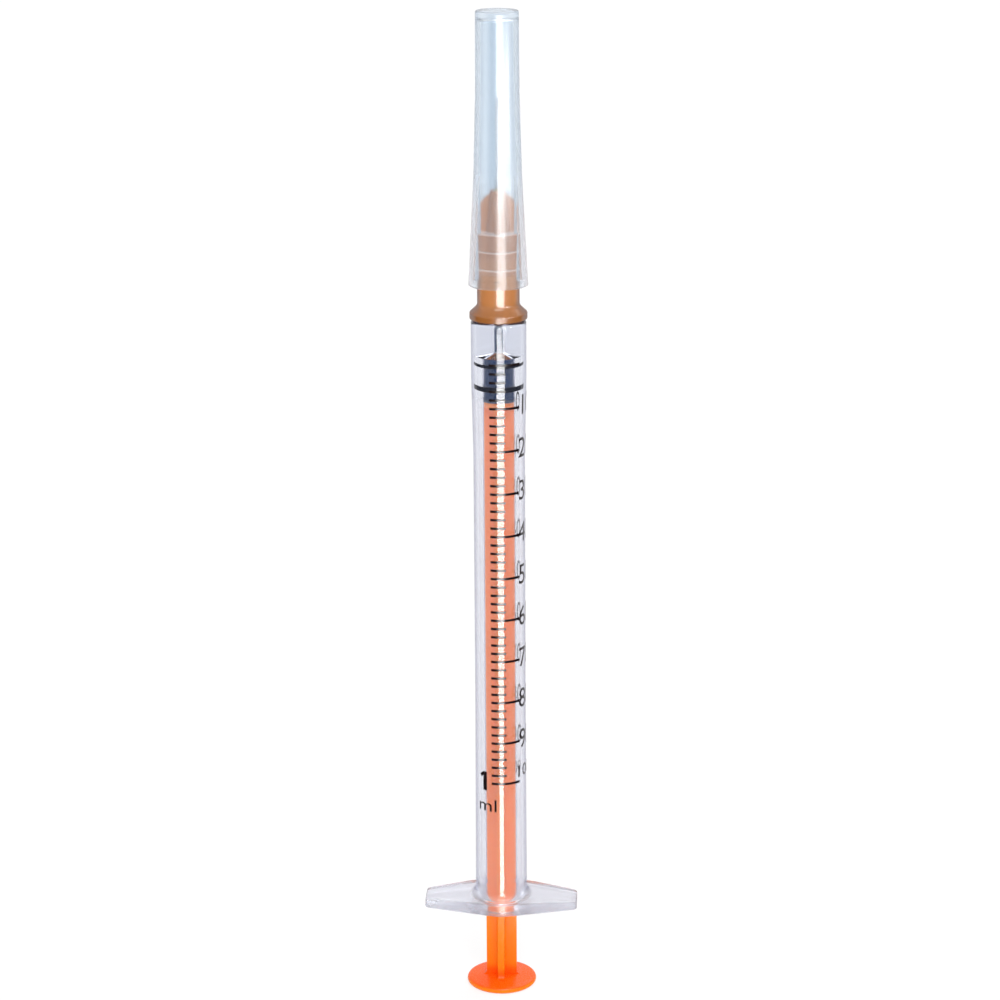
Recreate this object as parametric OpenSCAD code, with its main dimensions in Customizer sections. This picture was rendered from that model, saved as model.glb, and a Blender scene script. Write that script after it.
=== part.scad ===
// Insulin syringe, 1 ml: clear barrel, orange plunger rod, rubber stopper, slip-on needle and cap.
// It stands on its thumb disc with the needle up (+Z). The finger flange lies along X and the
// graduation faces -Y. The origin is on the axis, at the underside of the thumb disc.
// Sizes are millimetres and angles are degrees.

/* [Barrel] */
// Bore, which holds 1 ml between the zero line and the last line
bore_d = 4.53; // [4.45:0.01:4.7]
// Wall along the straight stretch of the barrel
barrel_wall = 1.375; // [1.2:0.025:1.6]
// Length of the graduation, from the zero line to the last line
scale_len = 62; // [50:1:75]
// From the underside of the finger flange to the last line
scale_foot = 20.2; // [14:0.2:30]
// How far the outside swells at the needle end
head_swell = 0.235; // [0.1:0.005:0.4]
// Length of the swollen end below the zero line
head_len = 2.5; // [1.5:0.1:4]
// Length over which the swell dies away
head_blend = 11.5; // [6:0.5:20]
// How far the outside swells at the finger flange, the draft of the mould
foot_swell = 0.11; // [0.05:0.01:0.3]
// Length over which that draft dies away
foot_blend = 30; // [15:1:40]
// Straight bore beyond the zero line
bore_over = 0.56; // [0.4:0.02:1]
// Height of the funnel from the bore into the fluid channel
funnel_h = 0.7; // [0.4:0.05:1.2]
// Solid end of the barrel, from the straight bore to the shoulder
tip_solid = 5.04; // [3:0.02:8]
// Chamfer on the shoulder
shoulder_chamfer = 0.35; // [0.1:0.05:0.6]
// Fluid channel through the end of the barrel and the nozzle
channel_d = 1.2; // [0.8:0.1:1.6]
// Bead inside the open end that keeps the stopper in: its height above the bore's wall
bead_rise = 0.065; // [0.04:0.005:0.09]
// From the underside of the finger flange to the bead
bead_up = 3.6; // [2:0.2:6]
// Length of each slope of the bead
bead_slope = 0.5; // [0.3:0.1:1]
// Lead-in chamfer at the open end of the bore
mouth_lead = 0.3; // [0.1:0.05:0.5]

/* [Finger flange] */
// Span of the finger flange from tip to tip
flange_span = 22.2; // [18:0.2:30]
// Depth of the finger flange at the barrel
flange_depth = 10.4; // [9.8:0.1:13]
// Depth of each tip
flange_tip_depth = 4.8; // [3:0.1:8]
// Corner radius of each tip
flange_corner_r = 0.7; // [0.3:0.1:1.4]
// Thickness at the barrel
flange_t = 1.73; // [1.4:0.01:2.5]
// Thickness at each tip
flange_tip_t = 1.22; // [0.8:0.01:1.35]
// Fillet between the barrel and the finger flange
flange_fillet_r = 1; // [0.5:0.1:1.1]

/* [Luer nozzle] */
// Diameter of the nozzle at its tip
nozzle_tip_d = 3.93; // [3.9:0.01:3.99]
// Length of the nozzle above the shoulder
nozzle_len = 7.5; // [6:0.1:9]
// Change of diameter over length of the luer cone
luer_taper_share = 0.06; // [0.05:0.005:0.07]
// Chamfer at the nozzle's tip
nozzle_lead = 0.2; // [0.1:0.05:0.4]

/* [Graduation] */
// Steps between the zero line and the last line
mark_steps = 50; // [20:10:100]
// Every so many steps a line is long
long_every = 5; // [1:1:10]
// Width of a line, along the barrel
mark_w = 0.35; // [0.2:0.05:0.5]
// Thickness of the ink
ink_t = 0.03; // [0.02:0.01:0.06]
// Where every line starts, from the front (-Y) towards +X
mark_from = -18; // [-60:1:0]
// Where a short line ends
short_to = 16; // [5:1:40]
// Where a long line ends
long_to = 50; // [41:1:90]

/* [Stopper] */
// Length of the stopper behind the zero line
stopper_back = 5.72; // [5.2:0.02:8]
// Depth of the grooves between the sealing ribs
groove_depth = 0.18; // [0.1:0.01:0.3]
// Thickness of the round front rib
front_rib_t = 0.5; // [0.3:0.05:0.7]
// From the zero line down to the middle of the front rib
front_rib_drop = 0.55; // [0.4:0.05:1]
// Thickness of the main sealing rib
main_rib_t = 0.8; // [0.5:0.05:1]
// From the zero line down to the middle of the main rib
main_rib_drop = 3.8; // [2.5:0.1:4.2]
// Thickness of the rear collar
rear_rib_t = 0.6; // [0.4:0.05:0.8]
// How far the rear collar stands off the bore
rear_rib_gap = 0.07; // [0.04:0.01:0.15]

/* [Plunger rod] */
// Length of rod that shows between the thumb disc's underside and the finger flange
rod_out = 12.4; // [8:0.2:20]
// Gap between the fins and the bore
rod_gap = 0.19; // [0.12:0.01:0.4]
// Width over the fins where the rod stays outside the barrel
rod_foot_d = 4.42; // [4.2:0.02:5]
// Thickness of each fin
fin_t = 0.95; // [0.6:0.05:1.4]
// Length over which the fins narrow to the width inside the barrel
fin_taper_len = 1.2; // [0.6:0.1:3]
// Fillet between the fins and the thumb disc
fin_fillet_r = 0.5; // [0.2:0.1:0.8]
// Diameter of the thumb disc
disc_d = 10.15; // [8:0.05:14]
// Thickness of the thumb disc at its round rim
disc_rim_t = 0.8; // [0.5:0.1:1.4]
// Rise of the thumb disc's upper face from the rim to the fins
disc_rise = 0.35; // [0.1:0.05:0.8]
// Thickness of the plate that pushes the stopper
plate_t = 0.8; // [0.5:0.1:1.5]
// Diameter of the snap head's neck
neck_d = 1.8; // [1.2:0.1:2.2]
// Length of the neck
neck_len = 1.1; // [0.8:0.1:1.6]
// Diameter of the snap head
snap_d = 2.5; // [2.3:0.1:2.9]
// Length of the snap head
snap_len = 1.5; // [1:0.1:2]
// Diameter of the snap head's blunt tip
snap_tip_d = 1.3; // [0.8:0.1:1.8]

/* [Needle hub] */
// Diameter of the rim at the hub's foot
rim_d = 8.05; // [6.5:0.05:10]
// Height of the rim
rim_h = 0.9; // [0.6:0.05:1.4]
// Height of the cone from the rim to the skirt
flare_h = 1; // [0.5:0.1:2]
// Diameter of the skirt
skirt_d = 5.9; // [5.6:0.05:6.1]
// From the hub's foot to the shoulder at the top of the skirt
skirt_len = 12.19; // [11:0.01:14]
// From the shoulder to the top of the nose
nose_len = 5.73; // [5.3:0.01:7]
// Diameter of the nose at the shoulder
nose_root_d = 3.4; // [2.8:0.1:4]
// Diameter of the nose at its top
nose_tip_d = 2.2; // [2:0.1:2.6]
// Width over the fins of the nose
hub_fin_d = 5.2; // [4.6:0.1:5.3]
// Thickness of the fins of the nose
hub_fin_t = 0.8; // [0.5:0.1:1.2]
// Straight height of the fins, below their round top
hub_fin_h = 2.9; // [2.4:0.1:3.1]
// Ring grooves in the skirt
ring_count = 2; // [1:1:3]
// Distance from one ring groove to the next, and from the last to the shoulder
ring_pitch = 2.5; // [1.6:0.1:2.8]
// Width of a ring groove
ring_w = 0.4; // [0.2:0.05:0.6]
// Depth of a ring groove
ring_depth = 0.16; // [0.08:0.02:0.24]
// Depth of the luer socket
socket_len = 8.6; // [8:0.1:9.5]
// Diameter of the passage between the socket and the cannula
passage_d = 0.8; // [0.6:0.1:1]
// Depth of the adhesive well in the top of the nose
well_len = 2; // [1.2:0.1:2.6]
// Diameter of the adhesive well at its mouth
well_d = 1.4; // [1:0.1:1.6]
// Diameter of the adhesive well at its floor
well_floor_d = 0.7; // [0.6:0.05:0.9]
// Height of the adhesive above the nose
adhesive_dome = 0.15; // [0.05:0.05:0.3]

/* [Cannula] */
// Outside diameter of the cannula
cannula_d = 0.45; // [0.4:0.01:0.5]
// Inside diameter of the cannula
cannula_bore_d = 0.25; // [0.15:0.01:0.28]
// Length of cannula that stands out of the hub
cannula_out = 13; // [8:0.5:16]
// Length of cannula held in the hub
cannula_in = 5.4; // [4:0.1:7]
// Angle between the bevel and the axis
bevel_angle = 12; // [10:1:30]

/* [Needle cap] */
// Length of the cap
cap_len = 37.6; // [36.8:0.1:45]
// From the hub's foot to the mouth of the cap
cap_up = 4.73; // [3:0.01:6]
// Diameter of the mouth
cap_mouth_d = 8.3; // [7.9:0.05:9.5]
// Diameter where the flared part ends
cap_neck_d = 6.68; // [6.6:0.02:7.2]
// From the mouth to the end of the flared part
cap_neck_up = 15.4; // [14.6:0.1:17]
// Diameter where the slim part starts
cap_waist_d = 6.07; // [5.9:0.01:6.4]
// From the mouth to the slim part
cap_waist_up = 26.4; // [20:0.1:32]
// Diameter of the closed end
cap_top_d = 5.95; // [4:0.05:6]
// Wall of the cap
cap_wall = 0.72; // [0.5:0.02:0.76]
// Thickness of the closed end
cap_end_t = 1; // [0.6:0.1:2]
// Chamfer round the closed end
cap_chamfer = 0.25; // [0.1:0.05:0.5]
// Ribs inside the cap that grip the hub
grip_ribs = 6; // [3:1:8]
// Thickness of each grip rib
grip_rib_t = 0.5; // [0.3:0.1:0.8]
// From the mouth to the foot of the grip ribs
grip_rib_up = 1; // [0.4:0.1:3]

/* [Fits] */
// Radial clearance between the sealing ribs and the bore
rib_fit = 0.015; // [0.01:0.005:0.03]
// Radial clearance between the nozzle and the luer socket
luer_fit = 0.015; // [0.01:0.005:0.03]
// Clearance round the snap head and behind the stopper
snap_fit = 0.04; // [0.02:0.01:0.05]
// Gap between the stopper's nose and the end of the bore
nose_gap = 0.06; // [0.03:0.01:0.1]
// Gap between the hub's foot and the shoulder
hub_gap = 0.26; // [0.1:0.02:0.6]
// Clearance between the grip ribs and the hub
cap_fit = 0.03; // [0.02:0.01:0.05]
// Clearance round the cannula and the adhesive
glue_fit = 0.01; // [0.005:0.005:0.02]
// Gap between the ink and the barrel
ink_fit = 0.005; // [0.003:0.001:0.01]

/* [Hidden] */
$fn = 96;
// How far a cut runs past the face that it opens
overrun = 1;

// Heights up the axis
flange_z = rod_out;
flange_top_z = flange_z + flange_t;
last_line_z = flange_z + scale_foot;
zero_z = last_line_z + scale_len;
bore_end_z = zero_z + bore_over;
shoulder_z = bore_end_z + tip_solid;
nozzle_top_z = shoulder_z + nozzle_len;
head_low_z = zero_z - head_len;
straight_top_z = head_low_z - head_blend;
straight_low_z = flange_top_z + foot_blend;
stopper_rear_z = zero_z - stopper_back;
hub_z = shoulder_z + hub_gap;
hub_shoulder_z = hub_z + skirt_len;
hub_top_z = hub_shoulder_z + nose_len;
cap_z = hub_z + cap_up;
cap_top_z = cap_z + cap_len;

// Radii
bore_r = bore_d / 2;
barrel_r = bore_r + barrel_wall;
head_r = barrel_r + head_swell;
foot_r = barrel_r + foot_swell;
channel_r = channel_d / 2;
nozzle_tip_r = nozzle_tip_d / 2;
nozzle_root_r = nozzle_tip_r + nozzle_len * luer_taper_share / 2;
rib_r = bore_r - rib_fit;
core_r = bore_r - groove_depth;
rod_r = bore_r - rod_gap;
skirt_r = skirt_d / 2;
cannula_r = cannula_d / 2;

// The outside of the barrel, as heights with their radii
barrel_outside = [
    [flange_z, foot_r],
    [flange_top_z, foot_r],
    [straight_low_z, barrel_r],
    [straight_top_z, barrel_r],
    [head_low_z, head_r],
    [shoulder_z, head_r]
];

// Outline of the finger flange: a round middle and two tips with round corners
module flange_outline() {
    middle_r = flange_depth / 2;
    tip_x = flange_span / 2 - flange_corner_r;
    tip_y = flange_tip_depth / 2 - flange_corner_r;
    // Direction of the edge that touches the middle's circle and the corner's circle
    edge_turn = atan2(tip_y, tip_x) + acos((middle_r - flange_corner_r) / norm([tip_x, tip_y]));
    edge = [cos(edge_turn), sin(edge_turn)];
    root = middle_r * edge;
    corner = [tip_x, tip_y] + flange_corner_r * edge;
    circle(middle_r);
    for (x = [-1, 1], y = [-1, 1])
        translate([x * tip_x, y * tip_y]) circle(flange_corner_r);
    polygon([
        [root.x, -root.y],
        [corner.x, -corner.y],
        [flange_span / 2, -tip_y],
        [flange_span / 2, tip_y],
        [corner.x, corner.y],
        [root.x, root.y],
        [-root.x, root.y],
        [-corner.x, corner.y],
        [-flange_span / 2, tip_y],
        [-flange_span / 2, -tip_y],
        [-corner.x, -corner.y],
        [-root.x, -root.y]
    ]);
}

// Finger flange: the outline, cut to a side view whose upper face falls towards the tips
module finger_flange() {
    level_x = foot_r + flange_fillet_r;
    fall_share = (flange_t - flange_tip_t) / (flange_span / 2 - level_x);
    end_x = flange_span / 2 + overrun;
    end_t = flange_t - (end_x - level_x) * fall_share;
    translate([0, 0, flange_z]) intersection() {
        linear_extrude(flange_t) flange_outline();
        rotate([90, 0, 0]) linear_extrude(flange_depth + overrun, center = true)
            polygon([
                [-end_x, 0],
                [end_x, 0],
                [end_x, end_t],
                [level_x, flange_t],
                [-level_x, flange_t],
                [-end_x, end_t]
            ]);
    }
}

// Fillet on the flange's upper face, round the barrel
module flange_fillet() {
    low = flange_t - flange_tip_t;
    translate([0, 0, flange_top_z]) rotate_extrude() difference() {
        translate([barrel_r, -low])
            square([foot_r - barrel_r + flange_fillet_r, flange_fillet_r + low]);
        translate([foot_r + flange_fillet_r, flange_fillet_r]) circle(flange_fillet_r);
    }
}

// Everything inside the barrel: mouth, bead, bore, funnel and channel
module barrel_hollow() {
    bead_z = flange_z + bead_up;
    rotate_extrude() polygon([
        [0, flange_z - overrun],
        [bore_r + mouth_lead, flange_z - overrun],
        [bore_r + mouth_lead, flange_z],
        [bore_r, flange_z + mouth_lead],
        [bore_r, bead_z],
        [bore_r - bead_rise, bead_z + bead_slope],
        [bore_r, bead_z + 2 * bead_slope],
        [bore_r, bore_end_z],
        [channel_r, bore_end_z + funnel_h],
        [channel_r, nozzle_top_z + overrun],
        [0, nozzle_top_z + overrun]
    ]);
}

// Barrel with its finger flange and luer nozzle, one clear moulding
module barrel() {
    color("#dfe6f2", 0.5) difference() {
        union() {
            rotate_extrude() polygon([
                [0, flange_z],
                for (p = barrel_outside) if (p[0] < shoulder_z) [p[1], p[0]],
                [head_r, shoulder_z - shoulder_chamfer],
                [head_r - shoulder_chamfer, shoulder_z],
                [nozzle_root_r, shoulder_z],
                [nozzle_tip_r, nozzle_top_z - nozzle_lead],
                [nozzle_tip_r - nozzle_lead, nozzle_top_z],
                [0, nozzle_top_z]
            ]);
            finger_flange();
            flange_fillet();
        }
        barrel_hollow();
    }
}

// One printed line, which follows the barrel's draft
module mark(z, to) {
    low_r = lookup(z - mark_w / 2, barrel_outside) + ink_fit;
    high_r = lookup(z + mark_w / 2, barrel_outside) + ink_fit;
    rotate([0, 0, mark_from - 90]) rotate_extrude(angle = to - mark_from) polygon([
        [low_r, z - mark_w / 2],
        [low_r + ink_t, z - mark_w / 2],
        [high_r + ink_t, z + mark_w / 2],
        [high_r, z + mark_w / 2]
    ]);
}

// The printed graduation: a line every step, and a long one every few steps
module graduation_marks() {
    color("#17161c") for (i = [0 : mark_steps])
        mark(zero_z - i * scale_len / mark_steps, i % long_every == 0 ? long_to : short_to);
}

// Half section of a ring round the axis, with its outer edges rounded
module ring_profile(z, r, t, corner_r) {
    translate([0, z - t / 2]) square([r - corner_r, t]);
    translate([0, z - t / 2 + corner_r]) square([r, t - 2 * corner_r]);
    for (side = [-1, 1]) translate([r - corner_r, z + side * (t / 2 - corner_r)]) circle(corner_r);
}

// Room in the stopper for the rod's neck and snap head
module snap_socket() {
    rotate_extrude() polygon([
        [0, stopper_rear_z - overrun],
        [neck_d / 2 + snap_fit, stopper_rear_z - overrun],
        [neck_d / 2 + snap_fit, stopper_rear_z + neck_len - 2 * snap_fit],
        [snap_d / 2 + snap_fit, stopper_rear_z + neck_len - 2 * snap_fit],
        [snap_d / 2 + snap_fit, stopper_rear_z + neck_len + snap_fit],
        [snap_tip_d / 2 + snap_fit, stopper_rear_z + neck_len + snap_len],
        [0, stopper_rear_z + neck_len + snap_len]
    ]);
}

// Rubber stopper: two sealing ribs and a rear collar on a slim core, and a cone that fits the funnel
module stopper() {
    nose_z = bore_end_z - nose_gap;
    cone_share = funnel_h / (bore_r - channel_r);
    color("#26304a") difference() {
        rotate_extrude() {
            translate([0, stopper_rear_z]) square([core_r, nose_z - stopper_rear_z]);
            polygon([
                [0, nose_z],
                [core_r, nose_z],
                [channel_r, nose_z + (core_r - channel_r) * cone_share],
                [0, nose_z + (core_r - channel_r) * cone_share]
            ]);
            ring_profile(zero_z - front_rib_drop, rib_r, front_rib_t, front_rib_t / 3);
            ring_profile(zero_z - main_rib_drop, rib_r, main_rib_t, main_rib_t / 4);
            ring_profile(stopper_rear_z + rear_rib_t / 2, bore_r - rear_rib_gap, rear_rib_t,
                rear_rib_t / 4);
        }
        snap_socket();
    }
}

// Side view of one pair of fins, with fillets down to the thumb disc
module fin_profile(disc_top) {
    foot = rod_foot_d / 2;
    plate_z = stopper_rear_z - snap_fit - plate_t;
    polygon([
        [-foot, disc_top / 2],
        [foot, disc_top / 2],
        [foot, rod_out - fin_taper_len],
        [rod_r, rod_out],
        [rod_r, plate_z + plate_t / 2],
        [-rod_r, plate_z + plate_t / 2],
        [-rod_r, rod_out],
        [-foot, rod_out - fin_taper_len]
    ]);
    for (side = [-1, 1]) difference() {
        translate([side * (foot + fin_fillet_r / 2), disc_top + fin_fillet_r / 4])
            square([fin_fillet_r, fin_fillet_r * 3 / 2], center = true);
        translate([side * (foot + fin_fillet_r), disc_top + fin_fillet_r]) circle(fin_fillet_r);
    }
}

// Plunger rod: thumb disc, crossed fins, pushing plate and the snap head that holds the stopper
module plunger_rod() {
    rim_r = disc_rim_t / 2;
    disc_r = disc_d / 2;
    foot = rod_foot_d / 2;
    disc_top = disc_rim_t + disc_rise;
    plate_top = stopper_rear_z - snap_fit;
    neck_top = stopper_rear_z + neck_len;
    color("#ff8719") union() {
        rotate_extrude() {
            polygon([
                [0, 0],
                [disc_r - rim_r, 0],
                [disc_r - rim_r, disc_rim_t],
                [foot, disc_top],
                [0, disc_top]
            ]);
            translate([disc_r - rim_r, rim_r]) circle(rim_r);
        }
        intersection() {
            for (turn = [0, 90]) rotate([90, 0, turn])
                linear_extrude(fin_t, center = true) fin_profile(disc_top);
            rotate_extrude() polygon([
                [0, 0],
                [disc_r - rim_r, 0],
                [disc_r - rim_r, disc_top + fin_fillet_r],
                [foot, disc_top + fin_fillet_r],
                [foot, rod_out - fin_taper_len],
                [rod_r, rod_out],
                [rod_r, plate_top],
                [0, plate_top]
            ]);
        }
        rotate_extrude() polygon([
            [0, plate_top - plate_t],
            [rod_r, plate_top - plate_t],
            [rod_r, plate_top],
            [neck_d / 2, plate_top],
            [neck_d / 2, neck_top],
            [snap_d / 2, neck_top],
            [snap_tip_d / 2, neck_top + snap_len - 2 * snap_fit],
            [0, neck_top + snap_len - 2 * snap_fit]
        ]);
    }
}

// Luer socket, passage, cannula seat and adhesive well of the hub
module hub_hollow() {
    engaged = nozzle_len - hub_gap;
    mouth_r = nozzle_tip_r + engaged * luer_taper_share / 2 + luer_fit;
    socket_end_r = mouth_r - socket_len * luer_taper_share / 2;
    cannula_low_z = hub_top_z - cannula_in;
    seat_r = cannula_r + glue_fit;
    well_z = hub_top_z - well_len;
    rotate_extrude() polygon([
        [0, hub_z - overrun],
        [mouth_r, hub_z - overrun],
        [mouth_r, hub_z],
        [socket_end_r, hub_z + socket_len],
        [passage_d / 2, hub_z + socket_len],
        [passage_d / 2, cannula_low_z],
        [seat_r, cannula_low_z],
        [seat_r, well_z],
        [well_floor_d / 2, well_z],
        [well_d / 2, hub_top_z],
        [well_d / 2, hub_top_z + overrun],
        [0, hub_top_z + overrun]
    ]);
}

// Needle hub: rim, grooved skirt that the cap grips, and a finned nose that holds the cannula
module needle_hub() {
    flare_z = hub_z + rim_h;
    chamfer = rim_h / 6;
    color("#c98443", 0.85) difference() {
        union() {
            rotate_extrude() polygon([
                [0, hub_z],
                [rim_d / 2 - chamfer, hub_z],
                [rim_d / 2, hub_z + chamfer],
                [rim_d / 2, flare_z],
                [skirt_r, flare_z + flare_h],
                for (i = [ring_count : -1 : 1], step = [-1, 0, 1]) [
                    skirt_r - (step == 0 ? ring_depth : 0),
                    hub_shoulder_z - i * ring_pitch + step * ring_w / 2
                ],
                [skirt_r, hub_shoulder_z - ring_w / 2],
                [skirt_r - ring_depth, hub_shoulder_z],
                [nose_root_d / 2, hub_shoulder_z],
                [nose_tip_d / 2, hub_top_z],
                [0, hub_top_z]
            ]);
            translate([0, 0, hub_shoulder_z]) for (turn = [0, 90])
                rotate([90, 0, turn]) linear_extrude(hub_fin_t, center = true) {
                    translate([-hub_fin_d / 2, -ring_w / 2]) square([hub_fin_d, hub_fin_h + ring_w / 2]);
                    intersection() {
                        translate([0, hub_fin_h]) circle(hub_fin_d / 2);
                        translate([-hub_fin_d / 2, 0]) square([hub_fin_d, nose_len]);
                    }
                }
        }
        hub_hollow();
    }
}

// Steel cannula with a slanted point that opens to the front
module cannula() {
    tip_z = hub_top_z + cannula_out;
    heel_z = tip_z - cannula_d / tan(bevel_angle);
    reach = cannula_r + overrun;
    rise = overrun / tan(bevel_angle);
    color("#c4c8cc") difference() {
        translate([0, 0, hub_top_z - cannula_in])
            cylinder(h = cannula_in + cannula_out, r = cannula_r);
        translate([0, 0, hub_top_z - cannula_in - overrun])
            cylinder(h = cannula_in + cannula_out + 2 * overrun, r = cannula_bore_d / 2);
        rotate([90, 0, 90]) linear_extrude(2 * reach, center = true) polygon([
            [-reach, heel_z - rise],
            [reach, tip_z + rise],
            [-reach, tip_z + rise]
        ]);
    }
}

// Adhesive that fills the well and stands a little proud round the cannula
module adhesive() {
    well_z = hub_top_z - well_len;
    hole_r = cannula_r + glue_fit;
    color("#e9d9a8", 0.8) rotate_extrude() polygon([
        [hole_r, well_z + glue_fit],
        [well_floor_d / 2 - glue_fit, well_z + glue_fit],
        [well_d / 2 - glue_fit, hub_top_z],
        [hole_r + adhesive_dome, hub_top_z + adhesive_dome],
        [hole_r, hub_top_z + adhesive_dome]
    ]);
}

// Half outline of the cap, drawn in by an inset from its outside
function cap_points(inset, top_z) = [
    [cap_mouth_d / 2 - inset, cap_z],
    [cap_neck_d / 2 - inset, cap_z + cap_neck_up],
    [cap_waist_d / 2 - inset, cap_z + cap_waist_up],
    [cap_top_d / 2 - inset, top_z]
];

// Room inside the cap: the hollow less the grip ribs, plus the space that the hub takes
module cap_hollow() {
    end_z = cap_top_z - cap_end_t;
    difference() {
        rotate_extrude() polygon([
            [0, cap_z - overrun],
            [cap_mouth_d / 2 - cap_wall, cap_z - overrun],
            for (p = cap_points(cap_wall, end_z)) p,
            [0, end_z]
        ]);
        difference() {
            for (i = [0 : grip_ribs - 1]) rotate([0, 0, (i + 0.5) * 360 / grip_ribs])
                translate([0, -grip_rib_t / 2, cap_z + grip_rib_up])
                    cube([cap_mouth_d, grip_rib_t, cap_neck_up - grip_rib_up]);
            cylinder(h = hub_shoulder_z + cap_fit, r = skirt_r + cap_fit);
            cylinder(h = cap_top_z, r = hub_fin_d / 2 + cap_fit);
        }
    }
}

// Needle cap: a frosted tube, closed at its slim end, with grip ribs that rest on the hub's shoulder
module needle_cap() {
    color("#cfdcea", 0.6) difference() {
        rotate_extrude() polygon([
            [0, cap_z],
            for (p = cap_points(0, cap_top_z - cap_chamfer)) p,
            [cap_top_d / 2 - cap_chamfer, cap_top_z],
            [0, cap_top_z]
        ]);
        cap_hollow();
    }
}

barrel();
graduation_marks();
stopper();
plunger_rod();
needle_hub();
cannula();
adhesive();
needle_cap();
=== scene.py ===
"""Looks of a slim insulin syringe, its slip-on needle and its cap, made around the packed solids."""

import math

import bmesh
import bpy
from bpy.props import FloatProperty, FloatVectorProperty, IntProperty, PointerProperty
from bpy.types import Operator, Panel, PropertyGroup
from mathutils import Euler, Matrix, Vector


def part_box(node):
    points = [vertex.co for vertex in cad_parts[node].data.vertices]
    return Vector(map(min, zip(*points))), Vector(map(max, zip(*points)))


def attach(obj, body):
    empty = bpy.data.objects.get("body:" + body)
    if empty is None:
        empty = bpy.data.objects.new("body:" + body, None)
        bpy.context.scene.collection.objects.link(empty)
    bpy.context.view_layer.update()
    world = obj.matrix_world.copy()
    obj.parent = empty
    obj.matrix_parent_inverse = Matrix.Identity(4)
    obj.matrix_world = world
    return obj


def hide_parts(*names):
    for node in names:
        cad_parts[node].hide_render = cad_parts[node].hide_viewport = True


bl_info = {
    "name": "Insulin syringe",
    "version": (1, 0, 0),
    "blender": (4, 5, 0),
    "location": "View3D > Sidebar > Syringe",
    "description": "Builds the looks of an insulin syringe around its packed solids",
    "category": "Object",
}

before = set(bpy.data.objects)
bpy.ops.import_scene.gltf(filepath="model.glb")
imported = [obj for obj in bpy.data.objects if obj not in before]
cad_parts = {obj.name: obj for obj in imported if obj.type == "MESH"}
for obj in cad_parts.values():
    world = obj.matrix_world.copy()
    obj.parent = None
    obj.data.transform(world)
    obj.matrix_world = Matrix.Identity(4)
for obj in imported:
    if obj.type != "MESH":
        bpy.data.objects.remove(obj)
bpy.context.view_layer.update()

MM = 0.001
FULL_TURN = 2 * math.pi
# Steps round a turned piece: the clear barrel bends light, so its facets have to be narrow
TURN_STEPS = 288
# Vertices nearer than this, in metres, are one vertex
WELD = 1e-6
# Edges that turn by more than this stay crisp
CRISP = math.radians(32)
# The fins' outer corners turn by more than this, in radians
FIN_CORNER = 1.2
# Stretches of a profile longer than this get a point this far from each end
LONG = 1.9 * MM
SUPPORT = 0.15 * MM
# Room between a rounding and the next point of its profile
ROUND_ROOM = 0.05 * MM
# Flat print is made twice this thick, and gets its real thickness when it is wrapped
HALF_INK = 0.5
# Points of a letter nearer than this, in its own units, are one point
TYPE_WELD = 1e-5
# Steps of a quarter circle in the rows of a turned piece
FILLET_ROWS = 6
TIP_ROWS = 12
# Two roundings that meet on one edge leave this share of it, so that their ends don't cross
ROUND_SHARE = 0.98
# Fins on the hub's nose and grip ribs in the cap: both divide the steps round a turned piece
HUB_FINS = 4
CAP_RIBS = 6

# Half width of the floor in metres, and how far it lies under the thumb disc
FLOOR_HALF = 20.0
FLOOR_GAP = 0.01 * MM
# Steps across a card of the studio
CARD_STEPS = 24

POLYPROPYLENE_IOR = 1.49
# Width over which a finish changes at the edge of its stretch
MASK_EDGE = 0.1 * MM
# Nearly all of a noise pattern lies between these
NOISE_LOW, NOISE_HIGH = 0.3, 0.7
# Sockets of a Mix node that is set to colours
FACTOR, FIRST_COLOUR, SECOND_COLOUR, MIXED_COLOUR = 0, 6, 7, 2
# How many times light has been mirrored or gone through a face: under the first it hasn't yet, and
# over the second it has been through a clear wall and back
NOT_YET, WALL_AND_BACK = 0.5, 3.5

BARREL_LOW, BARREL_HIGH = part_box("barrel")
ROD_LOW, ROD_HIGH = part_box("plunger_rod")
STOPPER_LOW, STOPPER_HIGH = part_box("stopper")
HUB_LOW, HUB_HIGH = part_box("needle_hub")
CAP_LOW, CAP_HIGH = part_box("needle_cap")
MARKS_LOW, MARKS_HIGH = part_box("graduation_marks")


def linear(hex_colour):
    """An sRGB hex colour as the linear values that shaders take."""
    parts = [int(hex_colour[i : i + 2], 16) / 255 for i in (1, 3, 5)]
    return tuple(p / 12.92 if p <= 0.04045 else ((p + 0.055) / 1.055) ** 2.4 for p in parts)


def size(name, description, metres):
    """A length that a user may change."""
    return FloatProperty(name=name, description=description, default=metres, unit="LENGTH", precision=5)


def tint(name, description, hex_colour):
    """A colour that a user may change."""
    return FloatVectorProperty(
        name=name,
        description=description,
        default=linear(hex_colour),
        subtype="COLOR",
        size=3,
        min=0.0,
        max=1.0,
    )


def angle(name, description, degrees):
    """An angle that a user may change."""
    return FloatProperty(name=name, description=description, default=math.radians(degrees), subtype="ANGLE")


def amount(name, description, number):
    """A plain number, never under zero, that a user may change."""
    return FloatProperty(name=name, description=description, default=number, min=0)


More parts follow.
